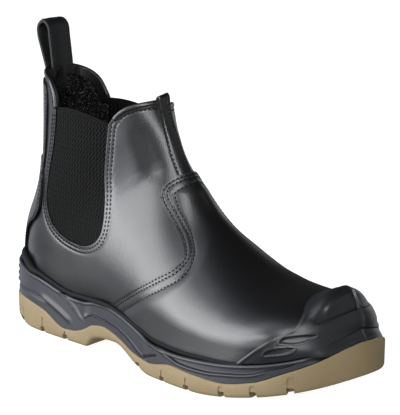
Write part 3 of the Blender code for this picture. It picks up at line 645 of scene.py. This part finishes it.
# Lining: a thin cloth inside the quarters, down to the footbed
liningCut = {"tSpan": (0.40, 1.0), "steps": (90, 150), "aboveFacing": 0.55, "wall": 0.5, "edgeRound": 0.15}
innerLining = lastSheet("lining", liningCut["tSpan"], (-1, 1), liningCut["steps"], 0.0)
p = coordsOf(innerLining)
pushOut(innerLining, liningCut["aboveFacing"] - overTail(p))
trim(innerLining, facing["fromEdge"] - openingEdge(p))
thicken(innerLining, liningCut["wall"], liningCut["edgeRound"])
settle(innerLining, lining, "footbed")

# Vamp: laid over the quarters, with a double row along its edge and a padded field inside a third row
vampCut = {"tSpan": (0.03, 0.66), "steps": (150, 200), "lift": 1.45, "wall": 1.35, "edgeRound": 0.5,
           "edgeRows": (1.6, 3.9), "padding": 0.9, "paddingRun": 7.0, "underBumper": 1.9}
thirdRow = ((-40, 19), (-14.6, 33.7), (7.6, 47.1), (23.9, 56.5), (33.5, 63.5), (35.8, 69.3), (33.4, 76.4),
            (29.4, 81.1), (19.2, 91.1), (9.1, 99.8), (1, 109.6))
paddedArea = np.vstack([smoothLine(thirdRow), [(6, 114.3), (30, 140), (260, 140), (260, 0), (-40, 0)]])


def vampLines(p):  # distances to the rows: two inside the edge, and one round the padded field
    return [insideOf(vampArea, p) + distance for distance in vampCut["edgeRows"]] + [insideOf(paddedArea, p)]


vamp = lastSheet("vamp", vampCut["tSpan"], (-1, 1), vampCut["steps"], vampCut["lift"])
p = coordsOf(vamp)
for values in vampLines(p):
    for line in contours(vamp, values):
        sew(line)
puff = vampCut["padding"] * ease(-insideOf(paddedArea, p) / vampCut["paddingRun"])
puff -= vampCut["underBumper"] * ease((-insideOf(bumperArea, p) - 2) / 3)
pushOut(vamp, puff + creaseShift(p))
trim(vamp, insideOf(vampArea, p))
pressRows(vamp, lambda p: np.min(np.abs(vampLines(p)), 0))
thicken(vamp, vampCut["wall"], vampCut["edgeRound"])
settle(vamp, leather, "black_leather")


def sewnStrip(name, spans, steps, form, rowLine, edgeOf, press=()):  # a strip on the last, with a row inside its edge
    piece = lastSheet(name, *spans, steps, form["lift"])
    p = coordsOf(piece)
    for line in contours(piece, rowLine(p) + form["row"]):
        sew(line[(line[:, 2] > form["sewn"][0]) & (line[:, 2] < form["sewn"][1])])
    trim(piece, edgeOf(p))
    pressRows(piece, lambda p: np.abs(rowLine(p) + form["row"]), *press)
    thicken(piece, form["wall"], form["edgeRound"])
    return piece


# Front strip: covers the seam up the front of the shaft and is turned over the collar
strip = {"half": 4.8, "lift": 1.1, "wall": 1.0, "edgeRound": 0.35, "foot": 116.0, "top": 165.6, "row": 1.3,
         "sewn": (119.0, 163.6), "middle": -0.4, "lean": 0.05}
finePress = (0.3, 0.6)  # depth and width of a row pressed into thin leather


def fromStripEdge(p):  # below zero on the strip, which leans to the outer side lower down
    return np.abs(p[:, 1] - strip["middle"] + strip["lean"] * (strip["top"] - p[:, 2])) - strip["half"]


def stripEdge(p):
    return np.maximum(fromStripEdge(p), np.maximum(p[:, 2] - strip["top"], strip["foot"] - p[:, 2]))


frontStrip = sewnStrip("frontStrip", ((0.58, 1.0), (-0.26, 0.22)), (90, 44), strip, fromStripEdge, stripEdge, finePress)
settle(frontStrip, leather, "black_leather")

# Backstay over the heel seam, and the strip that runs from it up to the loop
edgeSlant = 0.85  # distance over the leather for one along x
backstayRows = ((30, -139), (50, -137), (60, -134), (70, -125), (76.5, -115.5), (84, -111), (94, -112), (106, -117.5),
                (114.5, -121))  # height, front edge
stay = {"lift": 2.1, "wall": 1.8, "edgeRound": 0.5, "top": 114.5, "row": 1.7, "sewn": (50.0, 999.0)}


def stayEdge(p):
    return np.maximum((p[:, 0] - curveAt(backstayRows, 1, p[:, 2])) * edgeSlant, p[:, 2] - stay["top"])


backstay = sewnStrip("heelBackstay", ((0.705, 0.93), (0.58, 1.42)), (90, 90), stay, stayEdge, stayEdge)
settle(backstay, leather, "black_leather", "backstay")

spineRows = ((104, -117), (117, -114.5), (127, -113), (139, -112), (151, -111), (161, -112.5), (170, -117))
spine = {"lift": 1.2, "wall": 1.0, "edgeRound": 0.35, "foot": 108.0, "fromCollar": 6.2, "row": 1.4,
         "sewn": (116.0, 999.0)}


def spineEdge(p):
    return np.maximum(np.maximum((p[:, 0] - curveAt(spineRows, 1, p[:, 2])) * edgeSlant, spine["foot"] - p[:, 2]),
                      spine["fromCollar"] - openingEdge(p))


backStrip = sewnStrip("backStrip", ((0.84, 1.0), (0.58, 1.42)), (70, 90), spine, spineEdge, spineEdge, finePress)
settle(backStrip, leather, "black_leather")

# Elastic gussets: knitted in wavy columns, drawn coarser than real so that they show, with a woven selvedge on top
gusset = {"steps": (196, 150), "sink": 0.8, "wall": 0.9, "edgeRound": 0.15, "gap": 0.25, "pitch": 2.7,
          "period": 3.3, "sway": 0.65, "strand": 0.6, "ribMm": 0.5, "selvedge": 3.2, "selvedgeMm": 1.6}
gussetTop = {-1: ((-110, 151), (-98, 152.6), (-80, 154), (-66, 152.6), (-56, 150.5), (-46, 147.6)),
             1: ((-110, 150.6), (-98, 150.8), (-80, 149.6), (-66, 148), (-56, 146.6), (-46, 145.4))}
for name, side in (("gusset_lateral", -1), ("gusset_medial", 1)):
    t, w = np.meshgrid(np.linspace(0.5, 1, 160), side * np.linspace(0.2, 0.95, 160), indexing="ij")
    q = lastSkin(t, w)[0]
    rear = gussetEdge[side][0][0]
    gussetArea = np.vstack([smoothLine(gussetEdge[side]), [(-48, 160), (rear, 160)]])
    found = (insideOf(gussetArea, q) < 2) & (q[..., 2] < 157)
    spans = [(values[found].min(), values[found].max()) for values in (t, w)]
    panel = lastSheet(name + "Knit", *spans, gusset["steps"], -gusset["sink"])
    p = coordsOf(panel)
    trim(panel, np.maximum(insideOf(gussetArea, p) + gusset["gap"], p[:, 2] - curveAt(gussetTop[side], 1, p[:, 0])))
    p = coordsOf(panel)
    sway = gusset["sway"] * np.sin(2 * pi * p[:, 2] / gusset["period"])
    off = (p[:, 0] + sway) % gusset["pitch"] - gusset["pitch"] / 2
    # Strand height, 1 on the raised strands and 0 in the gaps: it shapes the relief and also sets the colour, paler
    # strands as painted sheen and near-black gaps as painted shade
    knit = ridgeOn(off, gusset["strand"])
    below = curveAt(gussetTop[side], 1, p[:, 0]) - p[:, 2]
    knit = np.where(below < gusset["selvedge"], 0.5 * np.abs(np.sin(pi * below / gusset["selvedgeMm"])), knit)
    pushOut(panel, gusset["ribMm"] * (knit - 0.5))
    setFloat(panel, "knit", knit)
    thicken(panel, gusset["wall"], gusset["edgeRound"])
    settle(panel, knitElastic, "elastic", name)

# Pull loop: a strap sewn astride the back of the collar
loop = {"width": 17.5, "thick": 2.6, "bendRadius": 18.0, "row": 2.0, "rawEdge": 0.45}
loopLine = ((-132.7, 149), (-132.7, 160), (-133, 169), (-137.4, 181), (-141.6, 192), (-141.6, 198.7), (-136.6, 202.4),
            (-131.4, 199.2), (-129.8, 191), (-128, 180), (-126.5, 168), (-126.5, 157))


def strap(name, line, form, steps):  # a strap along a side-view line, curved round the shaft across its width
    path = smoothLine(line, 10)
    run = np.linspace(0, 1, len(path))
    turn = np.gradient(path, axis=0)
    turn /= np.linalg.norm(turn, axis=1)[:, None]

    def onStrap(u, wide, deep):
        x = np.interp(u, run, path[:, 0]) - np.interp(u, run, turn[:, 1]) * deep
        z = np.interp(u, run, path[:, 1]) + np.interp(u, run, turn[:, 0]) * deep
        y = wide + form.get("middle", 0)
        return np.stack([x + wide ** 2 / (2 * form["bendRadius"]), y, z + form.get("tilt", 0) * wide], -1)

    def place(u, v):
        corner = 2 * pi * v
        wide = np.sign(np.cos(corner)) * np.abs(np.cos(corner)) ** 0.18 * form["width"] / 2
        return onStrap(u, wide, np.sign(np.sin(corner)) * np.abs(np.sin(corner)) ** 0.5 * form["thick"] / 2)
    piece = gridPiece(name, *steps, place)
    beside = np.abs(coordsOf(piece)[:, 1] - form.get("middle", 0))
    setFloat(piece, "rawEdge", beside > form["width"] / 2 - form["rawEdge"])
    closeUp(piece)
    u = np.linspace(0.02, 0.98, 160)
    for side in (-1, 1):
        row = onStrap(u, side * (form["width"] / 2 - form["row"]) + 0 * u, form["thick"] / 2 + 0 * u)
        up = np.stack([-np.interp(u, run, turn[:, 1]), 0 * u, np.interp(u, run, turn[:, 0])], -1)
        sew(np.concatenate([row, up], 1), sunk=0.05)
    return piece


pullLoop = strap("pullLoop", loopLine, loop, (110, 48))
settle(pullLoop, loopLeather, "loop_leather", "pull_loop")

# Tab: the head of the front strip, folded over the collar
tab = {"width": 8.0, "thick": 1.3, "bendRadius": -16.0, "row": 1.6, "rawEdge": 0.3, "tilt": 0.2, "middle": 1.6}
tabLine = ((-22.8, 160.5), (-23.0, 163), (-23.5, 165.4), (-25.0, 166.8), (-26.8, 166), (-27.5, 163), (-27.3, 158))
settle(strap("stripTab", tabLine, tab, (60, 32)), leather, "black_leather")

# Toe bumper: moulded cap with a ledge, a centre ridge, scoops and slots
bumper = {"tSpan": (0.0, 0.30), "steps": (170, 280), "lift": 4.1, "wall": 2.5, "edgeRound": 0.8, "centreY": 11.5,
          "ledge": 2.7, "scoop": 1.3, "ridge": 0.8, "fin": 1.7, "slot": 0.7, "crisp": 0.5, "skirt": 3.0,
          "skirtFrom": 134.0, "flare": 1.2, "crown": 8.2, "crownFrom": 55.0, "nose": 2.4, "noseHigh": 45.0,
          "panelHalf": 35.0, "scoopHalf": 31.0, "finHalf": 26.0, "slotFrom": 22.0, "lip": 0.3, "edgeBead": 0.35}
ledgeRows = ((0, 57.2), (2, 57.1), (15.6, 56), (31.5, 53), (45, 49))  # distance from the middle, height
scoopRows = ((0, 47.5), (3, 46.7), (17, 43.6), (28, 40.1), (45, 34))
finRows = ((0, 61.8), (13.5, 60.2), (24.4, 57.8), (40, 53))
slotAreas = [smoothLine(line) for line in (
    ((126.3, 42.1), (128.7, 45.2), (135.6, 47.1), (142, 47.2), (140.2, 44.5), (134.5, 42.1), (126.3, 42.1)),
    ((118.1, 33), (120.5, 36), (126, 38), (134, 38.9), (130.5, 35.6), (118.1, 33)))]


def toeward(p):  # 1 where the cap comes down to the tan wall
    return ease((p[:, 0] + last["skew"] * p[:, 1] - bumper["skirtFrom"]) / 10)


toeBumper = lastSheet("toeBumper", bumper["tSpan"], (-1, 1), bumper["steps"], bumper["lift"])
p = coordsOf(toeBumper)
trim(toeBumper, insideOf(bumperArea, p))
p = coordsOf(toeBumper)
trim(toeBumper, rimHeight(p[:, 0], p[:, 1]) + 0.3 - bumper["skirt"] * toeward(p) - p[:, 2])
p = coordsOf(toeBumper)
fromMiddle = np.abs(p[:, 1] - bumper["centreY"])
rearEdge = -insideOf(bumperArea, p)
ledge = p[:, 2] - curveAt(ledgeRows, 1, fromMiddle)
scoop = curveAt(scoopRows, 1, fromMiddle) - p[:, 2]
fin = p[:, 2] - curveAt(finRows, 1, fromMiddle)
crisp = bumper["crisp"]
panelSpan, scoopSpan, finSpan = [ease((bumper[name] - fromMiddle) / soft) for name, soft in (
    ("panelHalf", 9), ("scoopHalf", 9), ("finHalf", 6))]
inPanel = ease((rearEdge - 3) / 9) * panelSpan * (1 - ease(1.1 - fromMiddle / 0.9))
relief = -bumper["ledge"] * ease(ledge / crisp) * np.clip(1 - ledge / 15, 0, 1) * inPanel
relief -= bumper["scoop"] * ease(scoop / crisp) * np.clip(1 - scoop / 7, 0, 1) * scoopSpan
relief += bumper["fin"] * ridgeOn(fin, 0.8) * finSpan * ease((rearEdge - 5.5) / 3)
relief += bumper["ridge"] * ridgeOn(fromMiddle, 0.7)
relief += bumper["crown"] * ease((p[:, 2] - bumper["crownFrom"]) / 9) * ease(rearEdge / 6)
relief -= bumper["nose"] * ridgeOn(p[:, 2] - bumper["noseHigh"], 7) * ease((p[:, 0] - 120) / 12)
for area in slotAreas:
    inSlot = insideOf(area, p)
    lip = bumper["lip"] * ridgeOn(inSlot - 0.7, 0.5)
    relief -= (bumper["slot"] * ease(0.3 - inSlot / crisp) - lip) * (fromMiddle > bumper["slotFrom"])
relief += bumper["edgeBead"] * ridgeOn(rearEdge - 1.2, 0.8)
aboveRim = p[:, 2] - rimHeight(p[:, 0], p[:, 1])
relief += bumper["flare"] * (1 - ease((aboveRim + bumper["skirt"]) / 6)) * toeward(p)
pushOut(toeBumper, relief)
thicken(toeBumper, bumper["wall"], bumper["edgeRound"])
settle(toeBumper, capRubber, "black_rubber", "toe_bumper")


# Soles are rings round the outline, laid one above the other
def outlineAt(u):  # once round, from the heel along the lateral side to the toe and back
    lateral = u <= 0.5
    x = -last["half"] * np.cos(2 * pi * np.where(lateral, u, 1 - u))
    return x, np.where(lateral, -1.0, 1.0)


midsoleForm = {"pointsRound": 860, "sideRings": 58, "core": 40.0, "inside": 2.9, "lean": 0.02, "gap": 0.3,
               "lipWide": 1.5, "grooveDeep": 4.0, "drawnIn": 0.6, "crisp": 0.6, "ribs": (36.8, 32.2, 28.0)}
rimDrop = ((-153, 5.5), (-131, 5), (-109, 2.2), (-91, 1.8), (-80, 3), (-69, 3.2), (-47, 2.2), (-20, 1.2), (153, 0.8))
waistRows = ((-62, 20.5), (-54, 24.1), (-41, 23.7), (-27, 22.8), (-10.6, 18.6), (3.5, 12.8), (14, 9))
toeRows = ((10, 24.6), (13, 24.1), (35, 18.9), (49, 16.1), (68.5, 15.6), (86, 17.2), (103, 19.5), (114, 22.8),
           (129, 27.7), (140, 35), (153, 41))
heelRows = ((-153, 26), (-128, 25.2), (-113.6, 23.8), (-100, 22))
bulgeRows = ((-116, 26.5), (-104, 24), (-90, 19.5), (-76, 13.7), (-68, 11))


def bedHeight(x, y):
    return np.minimum(soleHeight("floor", x, y) + 7.0, soleHeight("split", x, y) - 0.5)


def midsoleRelief(s, y, z, top):  # how far the side is drawn in, by its grooves and steps
    crisp = midsoleForm["crisp"]
    inwards = midsoleForm["drawnIn"] - 0.5 * ridgeOn(z - top + 0.9, 0.8)  # bead under the rim
    aboveToe = z - curveAt(toeRows, 1, s)  # hollow along the forefoot, with a bead below it
    hollow = ease(aboveToe / crisp) * (1 - ease((z - top + 2.4) / crisp))
    inwards += 1.3 * hollow * ease((s - 6) / 14)
    inwards -= 0.5 * ridgeOn(aboveToe + 0.6, 0.8) * between(s, 6, 14, 118, 12)
    waist = z - curveAt(waistRows, 1, s)  # step over the arch, with a crest, and a boss at its rear end
    inwards += (0.9 * ease(waist / crisp) - 0.9 * ridgeOn(waist + 0.3, 0.6)) * between(s, -64, 9, 16, 11)
    inwards -= 0.9 * np.exp(-((s + 62) ** 2 + (z - 21) ** 2) / 1.5)
    diagonal = z - 21.1 + (s + 70) * 0.626  # step that rises to the heel
    inwards += (1.0 * ease(diagonal / crisp) - 0.9 * ridgeOn(diagonal + 0.4, 0.6)) * between(s, -97, 6, -62, 10)
    inwards += 1.3 * ridgeOn(z - 10.6 - 0.3 * (s - 5.8), 0.6) * between(s, 4, 3, 25, 3)  # short groove at the ball
    inwards += 1.4 * ridgeOn(z - curveAt(heelRows, 1, s), 0.9) * ease((-100 - s) / 10)  # groove round the heel
    inwards -= 1.0 * ridgeOn(z - curveAt(bulgeRows, 1, s), 1.9) * between(s, -112, 8, -75, 6)  # bulge before the heel
    ribs = sum(ridgeOn(z - level, 1.3) for level in midsoleForm["ribs"])  # across the back
    inwards -= 0.9 * ribs * ease((-134 - s) / 5) * ease((30 - np.abs(y)) / 4)
    inwards += 2.4 * ease((s - 135) / 8) * ease((z - top + 4) / 2)  # room for the skirt of the bumper
    return inwards


def midsolePlace(u, v):
    rings = midsoleForm["sideRings"]
    station = np.round(v * (rings + 7)).astype(int)  # 3 underneath, the side, then 4 over the lip and into the joint
    x0, side = outlineAt(u)
    share = np.clip((station - 3) / rings, 0, 1)
    x, y = planPoint(x0, side, 0.0)
    low = soleHeight("split", x, y) + midsoleForm["gap"]
    drop = curveAt(rimDrop, 1, x + last["skew"] * y)
    top = np.maximum(rimHeight(x, y) - drop, low + 0.6)
    z = low + (top - low) * share
    leaning = share * midsoleForm["lean"] * (curveAt(sideRows, 3, x0) - curveAt(sideRows, 2, x0))
    inset = midsoleRelief(x + last["skew"] * y, y, z, top) + leaning
    inset = np.where(station <= 2, midsoleForm["inside"], inset)
    inset = np.where(station == 0, midsoleForm["core"], inset)
    over = station - rings - 3
    lip = midsoleForm["lipWide"]
    inset += np.select([over == 1, over == 2, over == 3], [0.5, lip, lip + 0.3], 0.0)
    inset = np.where(over == 4, midsoleForm["core"], inset)
    z = z + np.select([over == 1, over == 2, over >= 3], [0.3, 0.0, -midsoleForm["grooveDeep"]], 0.0)
    x, y = planPoint(x0, side, inset)
    z = np.where(station <= 1, bedHeight(x, y) + midsoleForm["gap"], z)
    return np.stack([x, y, z], -1)


midsole = gridPiece("midsoleCup", midsoleForm["pointsRound"], midsoleForm["sideRings"] + 7, midsolePlace)
closeUp(midsole, 0.02)
settle(midsole, foamSkin, "grey_foam", "midsole", crease=50)

# Welt strip: a dull black bead that lies in the joint between the upper and the lip of the midsole, round the heel to
# the bumper. Along the sides it paints the shade of that joint; at the heel, where it is thicker, it is a black rim
# that stands proud
weltAndShadeForm = {"high": (1.8, 3.0), "thick": (1.5, 2.6), "out": 0.7, "overVamp": 1.4, "atHeel": 1.6, "below": (1.2, 2.4),
        "span": 0.37, "points": 420}
wallT, wallW = np.meshgrid(np.linspace(0, 0.999, 260), np.r_[np.linspace(-1, -0.5, 70), np.linspace(0.5, 1, 70)],
                           indexing="ij")
wallPoints, wallOut = [part.reshape(-1, 3) for part in lastSkin(wallT, wallW)]
wallTree = KDTree(len(wallPoints))
for k, point in enumerate(wallPoints):
    wallTree.insert(point, k)
wallTree.balance()
turnBy = np.linspace(-weltAndShadeForm["span"], weltAndShadeForm["span"], weltAndShadeForm["points"])
x0, side = outlineAt(turnBy % 1)
x, y = planPoint(x0, side, 3.0)
atHeel = ease((-105 - x) / 22)
high, thick, below = [weltAndShadeForm[name][0] + (weltAndShadeForm[name][1] - weltAndShadeForm[name][0]) * atHeel for name in ("high", "thick", "below")]
z = rimHeight(x, y) - below
near = [wallTree.find(point)[1] for point in zip(x, y, z)]
out = weltAndShadeForm["out"] + weltAndShadeForm["overVamp"] * ease((wallPoints[near][:, 0] + 60) / 25) + weltAndShadeForm["atHeel"] * atHeel
weltAndJointShade = bead("weltAndJointShade", wallPoints[near] + wallOut[near] * out[:, None], wallOut[near], high, thick)
settle(weltAndJointShade, weltRubberAndJointShade, "black_rubber")

# Outsole: wall and lugs, with arch-topped notches up its sides
outsoleForm = {"pointsRound": 400, "slot": 4.6, "slotHigh": 4.2, "slotReach": 13.0, "treadDepth": 3.2,
               "notchDeep": 0.7, "core": 40.0, "bedEdge": 2.6, "below": 6.0, "crossInset": 11.0}
outsoleSide = ((40, "floor", 0), (3.5, "floor", 0), (2.0, "floor", 0.25), (1.2, "floor", 0.8), (0.6, "floor", 1.8),
               (0.3, "floor", 3), (0.0, "split", -1.2), (0.15, "split", -0.5), (0.6, "split", 0), (2.6, "split", 0))
heelSlots = ((-132, 12.4, 0.5), (-107, 11, 0.5), (-83, 6.4, 0.5))  # place, top of the notch, its half width
foreSlots = ((3, 6.6, 0.6), (30, 8.4, 0.6), (54, 8.8, 0.8), (83, 9.4, 2.1), (106, 13.4, 2.3), (128, 21, 2.4))


def outsolePlace(u, v):
    station = np.round(v * (len(outsoleSide) + 1)).astype(int)
    insets = np.array([inset for inset, *_ in outsoleSide] + [outsoleForm["bedEdge"], outsoleForm["core"]])
    x, y = planPoint(*outlineAt(u), insets[station])
    heights = [soleHeight(level, x, y) + rise for _, level, rise in outsoleSide] + [bedHeight(x, y)] * 2
    return np.stack([x, y, np.choose(station, heights)], -1)


outsole = gridPiece("outsoleTread", outsoleForm["pointsRound"], len(outsoleSide) + 1, outsolePlace)
closeUp(outsole, 0.02)

cutPoints, cutFaces = [], []


def addCutter(outline, start, end):  # an outline of points, run from one offset to another
    first, count = len(cutPoints), len(outline)
    cutPoints.extend(tuple(np.add(point, start)) for point in outline)
    cutPoints.extend(tuple(np.add(point, end)) for point in outline)
    cutFaces.append(tuple(first + k for k in range(count)))
    cutFaces.append(tuple(first + count + k for k in reversed(range(count))))
    cutFaces.extend((first + k, first + count + k, first + count + (k + 1) % count, first + (k + 1) % count)
                    for k in range(count))


half = outsoleForm["slot"] / 2


def channel(floor, high):  # section of a channel, from below the floor up
    low, top = floor - outsoleForm["below"], floor + high
    return [(-half, low), (half, low), (half, top), (-half, top)]


for group in (heelSlots, foreSlots):
    for s, notchTop, notchHalf in group:
        floor = float(curveAt(sideRows, 1, s))
        edges = {}
        for side in (-1, 1):
            at = np.array([s - 1.0, s, s + 1.0])
            x, y = planPoint(at - last["skew"] * planPoint(at, side, 0.0)[1], side, 0.0)
            run = np.array([x[2] - x[0], y[2] - y[0], 0])
            run /= np.linalg.norm(run)
            out = np.array([run[1], -run[0], 0]) * -side
            edges[side] = np.array([x[1], y[1], 0])
            arch = [(-notchHalf, floor - outsoleForm["below"]), (notchHalf, floor - outsoleForm["below"])]
            arch += [(notchHalf * cos(a), notchTop - notchHalf + notchHalf * sin(a)) for a in np.linspace(0, pi, 9)]
            face = [edges[side] + run * a + np.array([0, 0, z]) for a, z in arch]
            addCutter(face, out * -outsoleForm["notchDeep"], out * 8)
            face = [edges[side] + run * a + np.array([0, 0, z]) for a, z in channel(floor, outsoleForm["slotHigh"])]
            addCutter(face, out * -outsoleForm["slotReach"], out * 9)
        face = [np.array([a, 0, z]) for a, z in channel(floor, outsoleForm["treadDepth"])]
        inwards = np.array([0, outsoleForm["crossInset"], 0])
        addCutter(face, edges[-1] + inwards, edges[1] - inwards)
    for (s0, *_), (s1, *_) in zip(group, group[1:]):
        s0, s1 = s0 - 0.9, s1 + 1.3  # ends inside the cross slots, each in its own plane
        y0, y1 = curveAt(planRows, 1, s0), curveAt(planRows, 1, s1)
        h0, h1 = [float(curveAt(sideRows, 1, s)) + outsoleForm["treadDepth"] + 0.1 for s in (s0, s1)]
        addCutter([np.array([s0, y0 - half, -9]), np.array([s0, y0 - half, h0]), np.array([s1, y1 - half, h1]),
                   np.array([s1, y1 - half, -9])], (0, 0, 0), (0, 2 * half, 0))
cutter = meshPiece("treadCutters", cutPoints, cutFaces)
closeUp(cutter)
applied(outsole, "BOOLEAN", operation="DIFFERENCE", object=cutter, solver="EXACT", use_self=True)
bpy.data.objects.remove(cutter)
settle(outsole, tanRubber, "tan_rubber", "outsole", crease=32)

# Footbed: a dished pad on the inner sole
footbed = {"core": 40.0, "inset": 11.7, "thick": 4.0, "dish": 1.2}


def footbedPlace(u, v):
    station = np.round(v * 6).astype(int)
    insets = np.array([footbed["core"], footbed["inset"], footbed["inset"] - 0.4, footbed["inset"] + 0.3,
                       footbed["inset"] + 4, footbed["inset"] + 12, footbed["core"]])
    rises = np.array([0.3, 0.3, 2.0, footbed["thick"], footbed["thick"] - 0.3, footbed["thick"] - footbed["dish"],
                      footbed["thick"] - footbed["dish"]])
    x, y = planPoint(*outlineAt(u), insets[station])
    return np.stack([x, y, curveAt(sideRows, sideColumn["feather"], x) + rises[station]], -1)


insole = gridPiece("footbedPad", 200, 6, footbedPlace)
closeUp(insole, 0.02)
settle(insole, footCloth, "footbed", "insole", crease=40)

# All stitches in one mesh: one lens-shaped stitch, copied along every row
stitchSize = {"long": 0.95, "wide": 0.5, "high": 0.4}
bpy.ops.mesh.primitive_uv_sphere_add(segments=6, ring_count=4, radius=mm)
pattern = bpy.context.object
shape = coordsOf(pattern)[:, [2, 0, 1]] * [stitchSize["long"], stitchSize["wide"], stitchSize["high"]]
shapeFaces = [np.array(face.vertices) for face in pattern.data.polygons]
stitchPoints, stitchFaces = [], []
for k, (point, run, up) in enumerate(stitches):
    beside = np.cross(up, run)
    stitchPoints.append(point + shape @ np.array([run, beside, up]))
    stitchFaces += [tuple(face + k * len(shape)) for face in shapeFaces]
stitching = meshPiece("stitching", np.vstack(stitchPoints), stitchFaces)
bpy.data.objects.remove(pattern)
closeUp(stitching, 0.001)
settle(stitching, thread, "black_leather")

# Floor, sky and lights: pale and soft, with a large light on the outer side
bpy.ops.mesh.primitive_plane_add(size=12)
floor = bpy.context.object
floor.name = "floor"
paper, tree, shader, place = startMaterial(
    "paperFloor", "#8c8c8c", Roughness=1.0, Specular_IOR_Level=0.0, Emission_Color=(1, 1, 1, 1), Emission_Strength=0.94)
floor.data.materials.append(paper)
floor.visible_glossy = False  # dull paper, which puts no shine on the leather
floor.visible_shadow = False  # lets the low part of the side lights through, as a bounce card would
world = bpy.data.worlds.new("studio")
bpy.context.scene.world = world
world.use_nodes = True
world.node_tree.nodes["Background"].inputs["Color"].default_value = (1, 1, 1, 1)
world.node_tree.nodes["Background"].inputs["Strength"].default_value = 0.06
lights = (  # two ends as azimuth from -Y and elevation, width in degrees, radiance, colour
    ("sideCore", (-48, 0), (-47, 36), 22, 5.2, "#ffffff"),
    ("sideBox", (-43, -10), (-44, 48), 25, 5.2, "#fbfdff"),
    ("sideLow", (-35, -28), (-38, 14), 17, 5.2, "#fbfdff"),
    ("sideWing", (-44, 7), (12, -4), 26, 3.4, "#f2f7ff"),
    ("sideHigh", (-46, 30), (-42, 68), 26, 2.2, "#f2f7ff"),
    ("sideVeil", (-54, -16), (-44, 74), 54, 0.3, "#dfeaff"),
    ("heelVeil", (-74, -20), (-106, 10), 34, 0.9, "#eef4ff"),
    ("edgeStrip", (2, 60), (54, 4), 12, 14.0, "#fbfdff"),
    ("bridge", (-30, 19), (-4, 31), 14, 14.0, "#fbfdff"),
    ("noseFill", (5, -8), (80, 0), 46, 0.6, "#fbfdff"),
    ("innerFill", (86, -14), (152, 44), 46, 0.5, "#fbfdff"),
    ("farSide", (165, -6), (210, 8), 30, 0.9, "#fbfdff"),
    ("topBox", (-40, 64), (50, 64), 22, 0.5, "#f2f7ff"))
lampReach = 1.8  # metres from the boot
lampAim = Vector((0, 0, 0.08))  # the point that the lamps face


def towardsLamp(azimuth, elevation):
    a, e = radians(azimuth), radians(elevation)
    return Vector((sin(a) * cos(e), -cos(a) * cos(e), sin(e)))


for name, start, end, wide, radiance, colour in lights:
    first, second = towardsLamp(*start) * lampReach, towardsLamp(*end) * lampReach
    back = (first + second).normalized()
    along = (second - first).normalized()
    bpy.ops.object.light_add(type="AREA", location=(first + second) / 2 + lampAim)
    lamp = bpy.context.object
    lamp.name = name
    lamp.data.shape = "ELLIPSE"
    lamp.data.color = linear(colour)[:3]
    lamp.data.size = (second - first).length
    lamp.data.size_y = 2 * lampReach * radians(wide / 2)
    lamp.data.energy = radiance * pi * pi / 4 * lamp.data.size * lamp.data.size_y
    lamp.rotation_mode = "QUATERNION"
    lamp.rotation_quaternion = Matrix((along, back.cross(along), back)).transposed().to_quaternion()
bpy.context.scene.view_settings.view_transform = "Standard"
print("stage and lights set")
